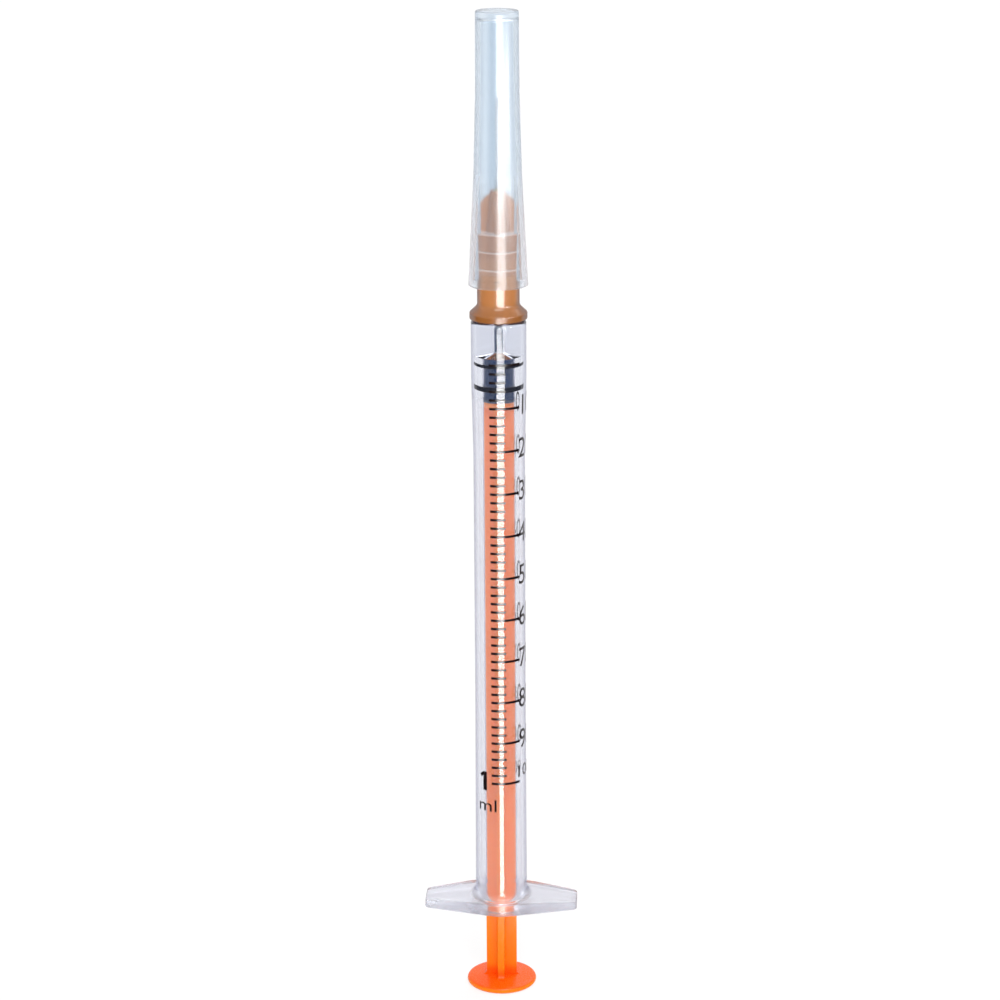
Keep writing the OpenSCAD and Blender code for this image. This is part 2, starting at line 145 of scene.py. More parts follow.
class BarrelSizes(PropertyGroup):
    """Sizes of the clear barrel"""

    bore_r: size("Bore radius", "Inside radius of the barrel", 2.265 * MM)
    body_r: size("Body radius", "Outside radius along the graduation", 3.64 * MM)
    head_r: size("Head radius", "Outside radius at the needle's end", 3.875 * MM)
    foot_r: size("Foot radius", "Outside radius at the finger flange", 3.75 * MM)
    straight_low: size("Straight from", "Height where the straight stretch starts", 44.13 * MM)
    straight_high: size("Straight to", "Height where the straight stretch ends", 80.6 * MM)
    head_z: size("Head height", "Height where the head has its full radius", 92.1 * MM)
    bore_end: size("Bore end", "Height of the flat end of the bore", 95.16 * MM)
    funnel: size("Funnel", "Height of the funnel above the bore", 0.7 * MM)
    channel_r: size("Channel radius", "Radius of the channel to the nozzle", 0.6 * MM)
    channel_round: size("Channel rounding", "Rounding where the funnel meets the channel", 0.15 * MM)
    bore_round: size("Bore rounding", "Rounding where the bore meets the funnel", 0.12 * MM)
    shoulder: size("Shoulder", "Height of the shoulder under the nozzle", 100.2 * MM)
    shoulder_round: size("Shoulder round", "Rounding of the shoulder", 0.35 * MM)
    nozzle_root_r: size("Nozzle root", "Radius of the nozzle at the shoulder", 2.19 * MM)
    nozzle_tip_r: size("Nozzle tip", "Radius of the nozzle at its tip", 1.965 * MM)
    nozzle_round: size("Nozzle rounding", "Rounding of the nozzle's tip", 0.2 * MM)
    mouth_lead: size("Mouth lead-in", "Chamfer at the open end of the bore", 0.3 * MM)
    bead_z: size("Bead height", "Height where the bead starts", 16.0 * MM)
    bead_rise: size("Bead rise", "How far the bead stands into the bore", 0.065 * MM)
    bead_slope: size("Bead slope", "Length of each slope of the bead", 0.5 * MM)
    flange_t: size("Flange thickness", "Thickness of the finger flange at the barrel", 1.73 * MM)
    flange_tip_t: size("Flange tip thickness", "Thickness of the finger flange at its tips", 1.22 * MM)
    flange_tip_half: size("Flange tip half depth", "Half depth of the finger flange at its tips", 2.4 * MM)
    flange_corner_r: size("Flange corner radius", "Radius of the flange's corners", 0.7 * MM)
    flange_fillet: size("Flange fillet", "Fillet between flange and barrel", 1.0 * MM)
    flange_edge: size("Flange edge", "Rounding of the flange's edges", 0.18 * MM)
    funnel_shade_r: size("Funnel shade radius", "Radius up to which the funnel looks dark", 2.3 * MM)
    funnel_shade_h: size("Funnel shade height", "How far above the bore the funnel looks dark", 1.0 * MM)
    haze_end: size("Haze end", "Height up to which the wall is a little hazy", 89.3 * MM)
    haze_fade: size("Haze fade", "Height over which the haze fades out", 0.8 * MM)
    matt_low: size("Matt up to", "Height where the flange's matt skin starts to fade", 13.6 * MM)
    matt_high: size("Matt end", "Height where the matt skin has faded", 17.5 * MM)


class StopperSizes(PropertyGroup):
    """Sizes of the rubber stopper"""

    core_r: size("Core radius", "Radius between the ribs", 2.085 * MM)
    press: size("Rib press", "How far the ribs press into the wall, to look wetted to it", 0.01 * MM)
    nose_z: size("Nose height", "Height where the nose cone starts", 95.1 * MM)
    front_rib_z: size("Front rib height", "Height of the front rib's middle", 94.05 * MM)
    front_rib_t: size("Front rib thickness", "Thickness of the front rib", 0.5 * MM)
    main_rib_z: size("Main rib height", "Height of the main rib's middle", 90.8 * MM)
    main_rib_t: size("Main rib thickness", "Thickness of the main rib", 0.8 * MM)
    collar_r: size("Collar radius", "Radius of the rear collar", 2.195 * MM)
    collar_t: size("Collar thickness", "Thickness of the rear collar", 0.6 * MM)
    socket_neck_r: size("Socket neck", "Radius of the socket's mouth", 0.94 * MM)
    socket_r: size("Socket radius", "Radius of the socket inside", 1.29 * MM)
    socket_tip_r: size("Socket tip", "Radius of the socket's end", 0.69 * MM)
    socket_neck: size("Socket neck length", "Length of the socket's neck", 1.02 * MM)
    socket_wall: size("Socket wall", "Straight height of the socket above its neck", 0.12 * MM)
    socket_end: size("Socket end", "Depth of the socket", 2.6 * MM)
    rib_round_share: amount("Rib rounding", "Rounding of a rib's edges as a share of its thickness", 0.12)
    root_round: size("Nose root rounding", "Rounding at the nose's root", 0.12 * MM)
    tip_round: size("Nose tip rounding", "Rounding at the nose's tip", 0.2 * MM)
    wetted_r: size("Wetted radius", "Radius from which the rubber looks wetted", 2.17 * MM)


class RodSizes(PropertyGroup):
    """Sizes of the plunger rod"""

    fin_t: size("Fin thickness", "Thickness of the crossed fins", 0.95 * MM)
    fin_low_half: size("Fin half width, low", "Half width of the fins below the flange", 2.21 * MM)
    fin_half: size("Fin half width", "Half width of the fins in the bore", 2.075 * MM)
    taper_low: size("Taper from", "Height where the fins start to taper", 11.2 * MM)
    taper_high: size("Taper to", "Height where the fins have their slim width", 12.4 * MM)
    foot_fillet: size("Foot fillet", "Fillet between the fins and the thumb disc", 0.5 * MM)
    fin_inner_r: size("Fin inner fillet", "Fillet in the corner between two fins", 0.25 * MM)
    edge: size("Fin edge", "Rounding of the fins' edges", 0.07 * MM)
    fin_sink: size("Fin sink", "How far the fins reach into the thumb disc", 0.3 * MM)
    rim_t: size("Disc rim thickness", "Thickness of the thumb disc at its rim", 0.8 * MM)
    rise: size("Disc rise", "How far the thumb disc rises to its middle", 0.35 * MM)
    plate_top: size("Plate height", "Height of the plate that pushes the stopper", 88.84 * MM)
    plate_t: size("Plate thickness", "Thickness of the plate that pushes the stopper", 0.8 * MM)
    plate_round: size("Plate rounding", "Rounding of the edges of the plate", 0.1 * MM)
    neck_r: size("Neck radius", "Radius of the neck of the snap head", 0.9 * MM)
    neck_top: size("Neck height", "Height where the snap head starts", 89.98 * MM)
    snap_r: size("Snap radius", "Radius of the snap head", 1.25 * MM)
    snap_tip_r: size("Snap tip radius", "Radius of the snap head's end", 0.65 * MM)
    # The thumb disc's redder colour is painted shade round the foot of the fins
    deep_low: size("Deep colour from", "Height where the thumb disc's redder colour starts", 0.5 * MM)
    deep_high: size("Deep colour to", "Height where the redder colour starts to fade", 1.5 * MM)
    deep_end: size("Deep colour end", "Height where the redder colour has faded", 3.2 * MM)


class HubSizes(PropertyGroup):
    """Sizes of the needle hub"""

    rim_h: size("Rim height", "Height of the rim", 0.9 * MM)
    foot_round: size("Foot rounding", "Rounding of the rim's lower edge", 0.15 * MM)
    rim_round: size("Rim rounding", "Rounding of the rim's upper edge", 0.12 * MM)
    flare_h: size("Flare height", "Height of the flare above the rim", 1.0 * MM)
    skirt_round: size("Skirt rounding", "Rounding where the flare meets the skirt", 0.35 * MM)
    skirt_r: size("Skirt radius", "Radius of the skirt", 2.95 * MM)
    shoulder: size("Hub shoulder", "Height of the shoulder", 112.65 * MM)
    ring_pitch: size("Ring pitch", "Distance between the ring grooves", 2.5 * MM)
    ring_w: size("Ring width", "Width of a ring groove", 0.4 * MM)
    ring_depth: size("Ring depth", "Depth of a ring groove", 0.16 * MM)
    nose_root_r: size("Nose root", "Radius of the nose at its root", 1.7 * MM)
    nose_tip_r: size("Nose tip", "Radius of the nose at its top", 1.1 * MM)
    fin_half: size("Fin half width", "Half width over the nose's fins", 2.6 * MM)
    fin_t: size("Fin thickness", "Thickness of the nose's fins", 0.8 * MM)
    fin_h: size("Fin straight height", "Straight height of the fins", 2.9 * MM)
    socket_mouth_r: size("Socket mouth", "Radius of the luer socket at its mouth", 2.197 * MM)
    socket_end_r: size("Socket end radius", "Radius of the luer socket at its end", 1.939 * MM)
    socket_end: size("Socket end", "Height of the luer socket's end", 109.06 * MM)
    passage_r: size("Passage radius", "Radius of the passage", 0.4 * MM)
    seat_low: size("Seat height", "Height where the cannula's seat starts", 112.98 * MM)
    seat_r: size("Seat radius", "Radius of the cannula's seat", 0.235 * MM)
    well_low: size("Well floor", "Height of the adhesive well's floor", 116.38 * MM)
    well_floor_r: size("Well floor radius", "Radius of the adhesive well's floor", 0.35 * MM)
    well_r: size("Well radius", "Radius of the adhesive well's mouth", 0.7 * MM)
    # The thick rim's darker colour is painted shade
    deep_high: size("Deep colour to", "Height where the thick rim's colour starts to fade", 101.6 * MM)
    deep_end: size("Deep colour end", "Height where the thick rim's colour has faded", 103.4 * MM)
    milk_low: size("Milk from", "Height where the hub starts to look milky", 106.4 * MM)
    milk_high: size("Milk to", "Height where the hub looks fully milky", 107.2 * MM)


class CapSizes(PropertyGroup):
    """Sizes of the needle cap"""

    mouth_r: size("Mouth radius", "Outside radius at the mouth", 4.15 * MM)
    neck_r: size("Neck radius", "Outside radius where the flare ends", 3.34 * MM)
    neck_z: size("Neck height", "Height where the flare ends", 120.59 * MM)
    waist_r: size("Waist radius", "Outside radius where the slim part starts", 3.035 * MM)
    waist_z: size("Waist height", "Height where the slim part starts", 131.59 * MM)
    top_r: size("Top radius", "Outside radius at the closed end", 2.975 * MM)
    wall: size("Wall", "Wall thickness", 0.72 * MM)
    end_t: size("End thickness", "Thickness of the closed end", 1.0 * MM)
    mouth_round: size("Mouth rounding", "Rounding of the mouth's outer edge", 0.12 * MM)
    mouth_round_in: size("Inner mouth rounding", "Rounding of the mouth's inner edge", 0.08 * MM)
    top_round: size("Top rounding", "Rounding of the closed end's outer edge", 0.25 * MM)
    end_round: size("Inner end rounding", "Rounding inside the closed end", 0.5 * MM)
    rib_t: size("Rib thickness", "Thickness of a grip rib", 0.5 * MM)
    rib_low: size("Rib foot", "Height where the grip ribs start", 106.19 * MM)
    rib_r: size("Rib radius, low", "Radius over which the ribs pass the skirt", 2.98 * MM)
    rib_step: size("Rib step", "Height where the ribs rest on the hub", 112.68 * MM)
    rib_high_r: size("Rib radius, high", "Radius that the ribs leave free above", 2.63 * MM)
    rib_ramp: size("Rib ramp", "Height over which a rib starts or steps", 0.02 * MM)
    rib_turn: angle("Rib angle", "Angle from the flange's tip to the first rib", 30)
    pale_high: size("Pale up to", "Height where the wide part's paler edges start to change", 112 * MM)
    pale_end: size("Pale end", "Height where the edges have their full shade", 124 * MM)


class PrintSizes(PropertyGroup):
    """Sizes of the printed numbers"""

    line_w: size("Line width", "Width of a line of the graduation", 0.35 * MM)
    number_h: size("Number height", "Height of the numbers", 2.9 * MM)
    number_widen: amount("Number width", "How wide the numbers are set, as a share of their type", 0.95)
    number_lift: size("Number lift", "How far a number's middle is above its line", 0.27 * MM)
    number_angle: angle("Number angle", "Angle from the middle of the graduation to the first digit", 47.5)
    last_h: size("Last number height", "Height of the last number", 1.8 * MM)
    last_widen: amount("Last number width", "How wide the last number is set, as a share of its type", 1.1)
    last_lift: size("Last number lift", "How far the last number's middle is above its line", 1.55 * MM)
    last_angle: angle("Last number angle", "Angle from the middle of the graduation to that number", 37)
    volume_h: size("Volume number height", "Height of the volume at the last line", 2.85 * MM)
    volume_t: size("Volume number weight", "Thickness of the volume's strokes", 0.62 * MM)
    volume_drop: size("Volume drop", "How far the volume's foot is under the last line", 1.2 * MM)
    volume_angle: angle("Volume angle", "Angle from the middle of the graduation to the volume", -50)
    unit_h: size("Unit height", "Height of the unit mark", 1.83 * MM)
    unit_widen: amount("Unit width", "How wide the unit mark is set, as a share of its type", 1.27)
    unit_drop: size("Unit drop", "How far the unit mark's middle is under the last line", 3.45 * MM)
    unit_angle: angle("Unit angle", "Angle from the middle of the graduation to the unit mark", -56)
    ink_t: size("Ink thickness", "Thickness of the ink", 0.02 * MM)
    ink_gap: size("Ink gap", "Gap between ink and wall", 0.006 * MM)
    long_every: IntProperty(name="Long every", description="Steps from one number to the next", default=5)
    steps: IntProperty(name="Steps", description="Steps of the graduation", default=50)


class StageSizes(PropertyGroup):
    """Camera and light of the studio"""

    camera_out: size("Camera distance", "Distance of the camera from the axis", 386.6 * MM)
    camera_up: size("Camera height", "Height of the camera", 188.7 * MM)
    camera_side: size("Camera offset", "How far the camera stands beside the axis", 0.08 * MM)
    lens: FloatProperty(name="Lens", description="Focal length", default=102.88, unit="CAMERA")
    camera_turn: angle("Camera turn", "How far the camera stands to the right", 2.8)
    camera_pitch: angle("Camera pitch", "How far the camera looks down", 16.5)
    camera_roll: angle("Camera roll", "How far the camera leans", -0.3)
    sky_level: amount("Sky level", "Light from all round", 0.5)
    key_level: amount("Key level", "Light of the main lamp", 0.55)
    back_level: amount("Back level", "Light of the lamp behind", 0.3)
    strip_level: amount("Strip level", "Brightness of the strip light", 20)


class Colours(PropertyGroup):
    """Colours of the finishes"""

    barrel: tint("Barrel", "Clear polypropylene", "#F9F9FE")
    # Painted shade: grey drawn on the clear wall where the eye looks along it
    barrel_edge: tint("Barrel edge", "The same where the eye looks along the wall", "#8484A0")
    barrel_deep: tint("Barrel, deep", "The same where the moulding is thick", "#A2B0CA")
    # Painted shade: dark drawn round the narrow channel and the funnel under it
    channel: tint("Channel", "The same round the narrow channel", "#4A5A72")
    ink: tint("Ink", "Printing ink", "#160C0E")
    stopper: tint("Stopper", "Rubber", "#0A2C54")
    # Painted shade: the ribs are drawn darker where they press on the barrel's wall
    rib: tint("Stopper ribs", "Rubber that is wetted to the barrel", "#0A1224")
    rod: tint("Rod", "Orange polypropylene", "#FF860C")
    rod_deep: tint("Rod, streaks", "The same in its flow streaks", "#FF7C06")
    # Painted shade: redder drawn round the thumb disc's top and the foot of the fins
    rod_foot: tint("Rod, foot", "The same on the thick thumb disc", "#FF6006")
    hub: tint("Hub", "Amber polypropylene", "#E4A05C")
    # Painted shade: darker drawn on the thick rim
    hub_foot: tint("Hub foot", "The same at the thick rim", "#BE7B32")
    # Painted shade: darker drawn where the eye looks along the wall
    hub_edge: tint("Hub edge", "The same where the eye looks along the wall", "#74421C")
    hub_milk: tint("Hub, milky", "The same where thin walls scatter light", "#BE8C74")
    # Painted highlight: light drawn in the ring grooves
    hub_groove: tint("Hub groove", "The same in the ring grooves, which catch light", "#F8E8E2")
    hub_deep: tint("Hub, deep", "The same where the moulding is thick", "#E0AA50")
    cap: tint("Cap", "Frosted polypropylene", "#F2F9FF")
    # Painted shade: darker drawn where the eye looks straight at the wall
    cap_middle: tint("Cap middle", "The same where the eye looks straight at the wall", "#DBE6F0")
    # Painted shade: grey drawn where the eye looks along the wall
    cap_edge: tint("Cap edge", "The same where the eye looks along the wall", "#C4D3E3")
    # Painted shade: the edges drawn paler in the wide part over the hub
    cap_mouth: tint("Cap edge, low", "The same in the wide part over the hub", "#F3EEF4")
    cap_deep: tint("Cap, deep", "The same where the moulding is thick", "#B4C4D8")
    steel: tint("Steel", "Stainless steel", "#BCBEC2")
    # Painted shade: dark drawn where the eye looks along the tube's side
    steel_edge: tint("Steel edge", "The same where the eye looks along the tube's side", "#5A5E64")
    resin: tint("Adhesive", "Cured epoxy", "#E9D9A8")
    floor: tint("Floor", "Paper of the floor", "#FFFFFF")
    light: tint("Light", "Strip lights and the light from all round", "#FFFFFF")
    cloth: tint("Cloth", "Black cloth round the strip lights", "#3F424B")


GROUPS = {
    "syringe_barrel": BarrelSizes,
    "syringe_stopper": StopperSizes,
    "syringe_rod": RodSizes,
    "syringe_hub": HubSizes,
    "syringe_cap": CapSizes,
    "syringe_print": PrintSizes,
    "syringe_stage": StageSizes,
    "syringe_colours": Colours,
}


# Mesh helpers


def radius_of(co):
    """Distance of a point from the axis."""
    return math.hypot(co.x, co.y)


def step_of(co):
    """Number of the step round the axis on which a point lies."""
    return round(math.atan2(co.y, co.x) / FULL_TURN * TURN_STEPS) % TURN_STEPS


def row_of(z):
    """Number of the row at a height, so that rows can be found again."""
    return round(z / WELD)


def radius_at(outside, z):
    """Radius at a height, from points of (radius, height) that go up."""
    for (r0, z0), (r1, z1) in zip(outside, outside[1:]):
        if z <= z1:
            share = max(0.0, (z - z0) / (z1 - z0))
            return r0 + share * (r1 - r0)
    return outside[-1][0]


def with_support(profile, closed):
    """The profile with a point near both ends of each long stretch, so that it shades as straight."""
    points = []
    followers = profile[1:] + profile[:1] if closed else profile[1:]
    for here, there in zip(profile, followers):
        points.append(here)
        span = Vector((there[0] - here[0], there[1] - here[1]))
        if span.length > LONG:
            start = SUPPORT + (here[2] if len(here) > 2 else 0)
            end = span.length - SUPPORT - (there[2] if len(there) > 2 else 0)
            for along in (start, end):
                step = span * (along / span.length)
                points.append((here[0] + step.x, here[1] + step.y))
    if not closed:
        points.append(profile[-1])
    return points


def rounded(bm, geom, radius, segments, affect="EDGES"):
    """Bevels edges, or corners of a profile, to a round."""
    return bmesh.ops.bevel(
        bm,
        geom=geom,
        offset=radius,
        offset_type="OFFSET",
        segments=segments,
        affect=affect,
        profile=0.5,
        material=-1,
    )


def turned(profile, closed=True, bm=None):
    """A mesh turned round the axis from points of (radius, height) or (radius, height, rounding)."""
    bm = bm or bmesh.new()
    profile = with_support(profile, closed)
    verts = [bm.verts.new((p[0], 0, p[1])) for p in profile]
    ends = verts[1:] + verts[:1] if closed else verts[1:]
    edges = [bm.edges.new(pair) for pair in zip(verts, ends)]
    for vert, point in zip(verts, profile):
        if len(point) > 2:
            made = rounded(bm, [vert], point[2], segments=4, affect="VERTICES")
            edges += made["edges"]
            verts += made["verts"]
    verts = [v for v in verts if v.is_valid]
    edges = list({e for v in verts for e in v.link_edges})
    bmesh.ops.spin(
        bm,
        geom=verts + edges,
        cent=(0, 0, 0),
        axis=(0, 0, 1),
        angle=FULL_TURN,
        steps=TURN_STEPS,
        use_merge=True,
    )
    return bm


def even_outline(steps, pieces):
    """Points spread evenly along an outline, whose pieces are each (length, function of a share)."""
    total = sum(length for length, _ in pieces)
    points = []
    for i in range(steps + 1):
        left = total * i / steps
        for length, place in pieces:
            if left <= length + WELD / 10 or place is pieces[-1][1]:
                points.append(place(min(left / length, 1.0)))
                break
            left -= length
    return points


def around(quarter):
    """The whole outline from its first quarter, which runs from +X to +Y."""
    last = len(quarter) - 1
    whole = []
    for k in range(4 * last):
        part, i = divmod(k, last)
        x, y = quarter[i] if part % 2 == 0 else quarter[last - i]
        sign_x = 1 if part in (0, 3) else -1
        sign_y = 1 if part in (0, 1) else -1
        whole.append((sign_x * x, sign_y * y))
    return whole


def weld(bm):
    """Joins vertices that lie on each other."""
    bmesh.ops.remove_doubles(bm, verts=bm.verts[:], dist=WELD)


def follow_outlines(bm, outlines, reached):
    """Moves the reached points of each row that has an outline to their step of that outline."""
    for vert in bm.verts:
        outline = outlines.get(row_of(vert.co.z))
        if outline and reached(vert.co):
            vert.co.xy = outline[step_of(vert.co)]


def mark_crisp_edges(bm):
    """Smooth faces, with the edges that turn sharply kept crisp."""
    for face in bm.faces:
        face.smooth = True
    for edge in bm.edges:
        edge.smooth = len(edge.link_faces) != 2 or edge.calc_face_angle(0.0) < CRISP


def new_object(bm, name, material):
    """Puts a mesh in the scene as an object with one material."""
    mesh = bpy.data.meshes.new(name)
    bm.to_mesh(mesh)
    bm.free()
    mesh.materials.append(material)
    made = bpy.data.objects.new(name, mesh)
    bpy.context.scene.collection.objects.link(made)
    return made


def finish_piece(bm, name, body, material, stands_for=()):
    """Turns the mesh's faces outwards and makes it a piece that rides on its body."""
    bmesh.ops.recalc_face_normals(bm, faces=bm.faces[:])
    mark_crisp_edges(bm)
    piece = new_object(bm, name, material)
    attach(piece, body)
    if stands_for:
        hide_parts(*stands_for)


def finish_turned(bm, name, body, material, node):
    """Welds a turned mesh and makes it the piece that stands for a packed node."""
    weld(bm)
    bmesh.ops.dissolve_degenerate(bm, edges=bm.edges[:], dist=WELD / 2)
    finish_piece(bm, name, body, material, [node])


def give_finish(node, material):
    """Gives a packed node its material, and leaves its mesh as it is."""
    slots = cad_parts[node].data.materials
    slots.clear()
    slots.append(material)


# Material helpers


def new_material(name):
    """An empty material and its node tree."""
    material = bpy.data.materials.new(name)
    material.use_nodes = True
    material.node_tree.nodes.clear()
    return material, material.node_tree


def add(tree, kind, inputs=None, out=0, **settings):
    """Adds one node with its settings and gives one of its outputs.

    Each input is a value or the socket that feeds it.
    """
    node = tree.nodes.new(kind)
    for key, value in settings.items():
        setattr(node, key, value)
    for key, value in (inputs or {}).items():
        if isinstance(value, bpy.types.NodeSocket):
            tree.links.new(value, node.inputs[key])
        elif node.inputs[key].type == "RGBA":
            node.inputs[key].default_value = (*value, 1)
        else:
            node.inputs[key].default_value = value
    return node.outputs[out] if node.outputs else None


def pattern(tree, feature, detail=3.0, stretch=1, limits=None):
    """Noise with features of this many millimetres, which the stretch makes longer up the syringe.

    It runs from 0 to 1 or, with limits, between those, as a roughness does.
    """
    place = add(tree, "ShaderNodeTexCoord", out="Object")
    scales = [1 / (MM * feature * times) for times in (1, 1, stretch)]
    scaled = add(tree, "ShaderNodeMapping", {"Vector": place, "Scale": scales})
    noise = add(tree, "ShaderNodeTexNoise", {"Vector": scaled, "Scale": 1.0, "Detail": detail}, "Fac")
    if not limits:
        return noise
    span = {"From Min": NOISE_LOW, "From Max": NOISE_HIGH, "To Min": limits[0], "To Max": limits[1]}
    return add(tree, "ShaderNodeMapRange", {"Value": noise, **span})


def by_radius(tree, low, high, start, end):
    """A value that goes from start to end between two distances from the axis."""
    place = add(tree, "ShaderNodeTexCoord", out="Object")
    level = add(tree, "ShaderNodeVectorMath", {0: place, 1: (1, 1, 0)}, operation="MULTIPLY")
    reach = add(tree, "ShaderNodeVectorMath", {0: level}, "Value", operation="LENGTH")
    span = {"From Min": low, "From Max": high, "To Min": start, "To Max": end}
    return add(tree, "ShaderNodeMapRange", {"Value": reach, **span})


def by_height(tree, low, high, start, end):
    """A value that goes smoothly from start to end between two heights above the base."""
    place = add(tree, "ShaderNodeTexCoord", out="Object")
    height = add(tree, "ShaderNodeSeparateXYZ", {"Vector": place}, "Z")
    span = {"From Min": low, "From Max": high, "To Min": start, "To Max": end}
    return add(tree, "ShaderNodeMapRange", {"Value": height, **span}, interpolation_type="SMOOTHSTEP")


def along_wall(tree, low, high):
    """A factor that rises smoothly to 1 where the eye looks along the wall."""
    facing = add(tree, "ShaderNodeLayerWeight", {"Blend": 0.5}, "Facing")
    span = {"From Min": low, "From Max": high, "To Min": 0.0, "To Max": 1.0}
    return add(tree, "ShaderNodeMapRange", {"Value": facing, **span}, interpolation_type="SMOOTHSTEP")


def layered(tree, colour, *layers):
    """A colour with others laid over it in turn, each as far as the factor before it says."""
    for factor, over in layers:
        sockets = {FACTOR: factor, FIRST_COLOUR: colour, SECOND_COLOUR: over}
        colour = add(tree, "ShaderNodeMix", sockets, MIXED_COLOUR, data_type="RGBA")
    return colour


def shaded(colour, times):
    """A colour made darker or lighter by a factor."""
    return [c * times for c in colour]


def seen_share(tree):
    """1 for what the camera sees, also mirrored or through a clear wall, and 0 for all other light."""
    seen = add(tree, "ShaderNodeLightPath", out="Is Camera Ray")
    for kind in ("Is Glossy Ray", "Is Transmission Ray"):
        ray = add(tree, "ShaderNodeLightPath", out=kind)
        seen = add(tree, "ShaderNodeMath", {0: seen, 1: ray}, operation="MAXIMUM")
    return seen


def clear_output(tree, shader, depth_colour, density):
    """The output for a clear finish: lamps and bounced light pass straight through to what is inside.

    The plastic takes up more light the longer the way through it is, down to its depth colour.
    """
    passing = add(tree, "ShaderNodeBsdfTransparent")
    for kind in ("Is Shadow Ray", "Is Diffuse Ray"):
        ray = add(tree, "ShaderNodeLightPath", out=kind)
        shader = add(tree, "ShaderNodeMixShader", {0: ray, 1: shader, 2: passing})
    depth = add(tree, "ShaderNodeVolumeAbsorption", {"Color": depth_colour, "Density": density})
    add(tree, "ShaderNodeOutputMaterial", {"Surface": shader, "Volume": depth})


# The finishes


def clear_polypropylene(colours, barrel):
    """Injection-moulded clarified polypropylene: a cool wall, with painted grey shade at its edges and
    painted dark shade round the narrow channel.

    Below the oiled stretch at the stopper, a faint milky haze lies over what is inside.
    """
    material, tree = new_material("clear_moulded_polypropylene")
    # Painted shade: the wall round the channel and the funnel under it is drawn dark, so that they show as
    # dark lines in the clear end
    low = barrel.bore_end
    high = low + barrel.funnel_shade_h
    channel = by_radius(tree, barrel.channel_r + MASK_EDGE, barrel.channel_r + 2 * MASK_EDGE, 1, 0)
    dark = by_radius(tree, barrel.funnel_shade_r, barrel.funnel_shade_r + MASK_EDGE, 1, 0)
    for mask in (
        by_height(tree, low - MASK_EDGE, low, 0, 1),
        by_height(tree, high, high + MASK_EDGE, 1, 0),
    ):
        dark = add(tree, "ShaderNodeMath", {0: dark, 1: mask}, operation="MULTIPLY")
    dark = add(tree, "ShaderNodeMath", {0: dark, 1: channel}, operation="MAXIMUM")
    # Painted shade: the wall is drawn grey where the eye looks along it
    edge = along_wall(tree, 0.4, 0.85)
    wall = layered(tree, colours.barrel, (edge, colours.barrel_edge), (dark, colours.channel))
    # The flange comes out of a matt part of the mould
    matt = by_height(tree, barrel.matt_low, barrel.matt_high, 0.2, 0.0)
    gloss = pattern(tree, 6.0, limits=(0.04, 0.08))
    # Flow of the melt: waves a few millimetres long up the barrel, a few thousandths deep
    flow = pattern(tree, 2.2, detail=2.0, stretch=5)
    clear = add(
        tree,
        "ShaderNodeBsdfPrincipled",
        {
            "Base Color": wall,
            "Roughness": add(tree, "ShaderNodeMath", {0: gloss, 1: matt}, operation="ADD"),
            "Normal": add(tree, "ShaderNodeBump", {"Height": flow, "Distance": 0.002 * MM}),
            "IOR": POLYPROPYLENE_IOR,
            "Transmission Weight": 0.985,
        },
    )
    fade = barrel.haze_fade / 2
    hazy = by_height(tree, barrel.haze_end - fade, barrel.haze_end + fade, 0.055, 0.0)
    haze = add(tree, "ShaderNodeBsdfDiffuse", {"Color": colours.barrel})
    shader = add(tree, "ShaderNodeMixShader", {0: hazy, 1: clear, 2: haze})
    clear_output(tree, shader, colours.barrel_deep, density=75.0)
    return material


def printing_ink(colours):
    """Screen-printed ink: near black with a soft sheen, its film a little uneven."""
    material, tree = new_material("screen_printed_ink")
    film = pattern(tree, 0.12, detail=4.0)
    shader = add(
        tree,
        "ShaderNodeBsdfPrincipled",
        {
            "Base Color": layered(tree, colours.ink, (film, shaded(colours.ink, 1.8))),
            "Roughness": pattern(tree, 0.12, detail=4.0, limits=(0.14, 0.22)),
            "Normal": add(tree, "ShaderNodeBump", {"Height": film, "Distance": 0.004 * MM}),
            "IOR": 1.5,
            "Specular IOR Level": 0.35,
        },
    )
    add(tree, "ShaderNodeOutputMaterial", {"Surface": shader})
    return material


def moulded_rubber(colours, stopper):
    """Dark elastomer, moulded and oiled: dull, with a soft sheen, and a painted darker shade on the ribs
    where they are wetted to the wall.
    """
    material, tree = new_material("oiled_moulded_rubber")
    cloud = pattern(tree, 1.4)
    grain = pattern(tree, 0.1, detail=5.0)
    # Painted shade: darker rubber from this radius out, where the ribs touch the wall
    wetted = by_radius(tree, stopper.wetted_r, stopper.wetted_r + MASK_EDGE / 2, 0, 1)
    body = layered(tree, colours.stopper, (cloud, shaded(colours.stopper, 1.35)), (wetted, colours.rib))
    shader = add(
        tree,
        "ShaderNodeBsdfPrincipled",
        {
            "Base Color": body,
            "Roughness": pattern(tree, 0.1, detail=5.0, limits=(0.38, 0.55)),
            "Normal": add(tree, "ShaderNodeBump", {"Height": grain, "Distance": 0.006 * MM}),
            "IOR": 1.52,
            "Specular IOR Level": 0.1,
        },
    )
    add(tree, "ShaderNodeOutputMaterial", {"Surface": shader})
    return material


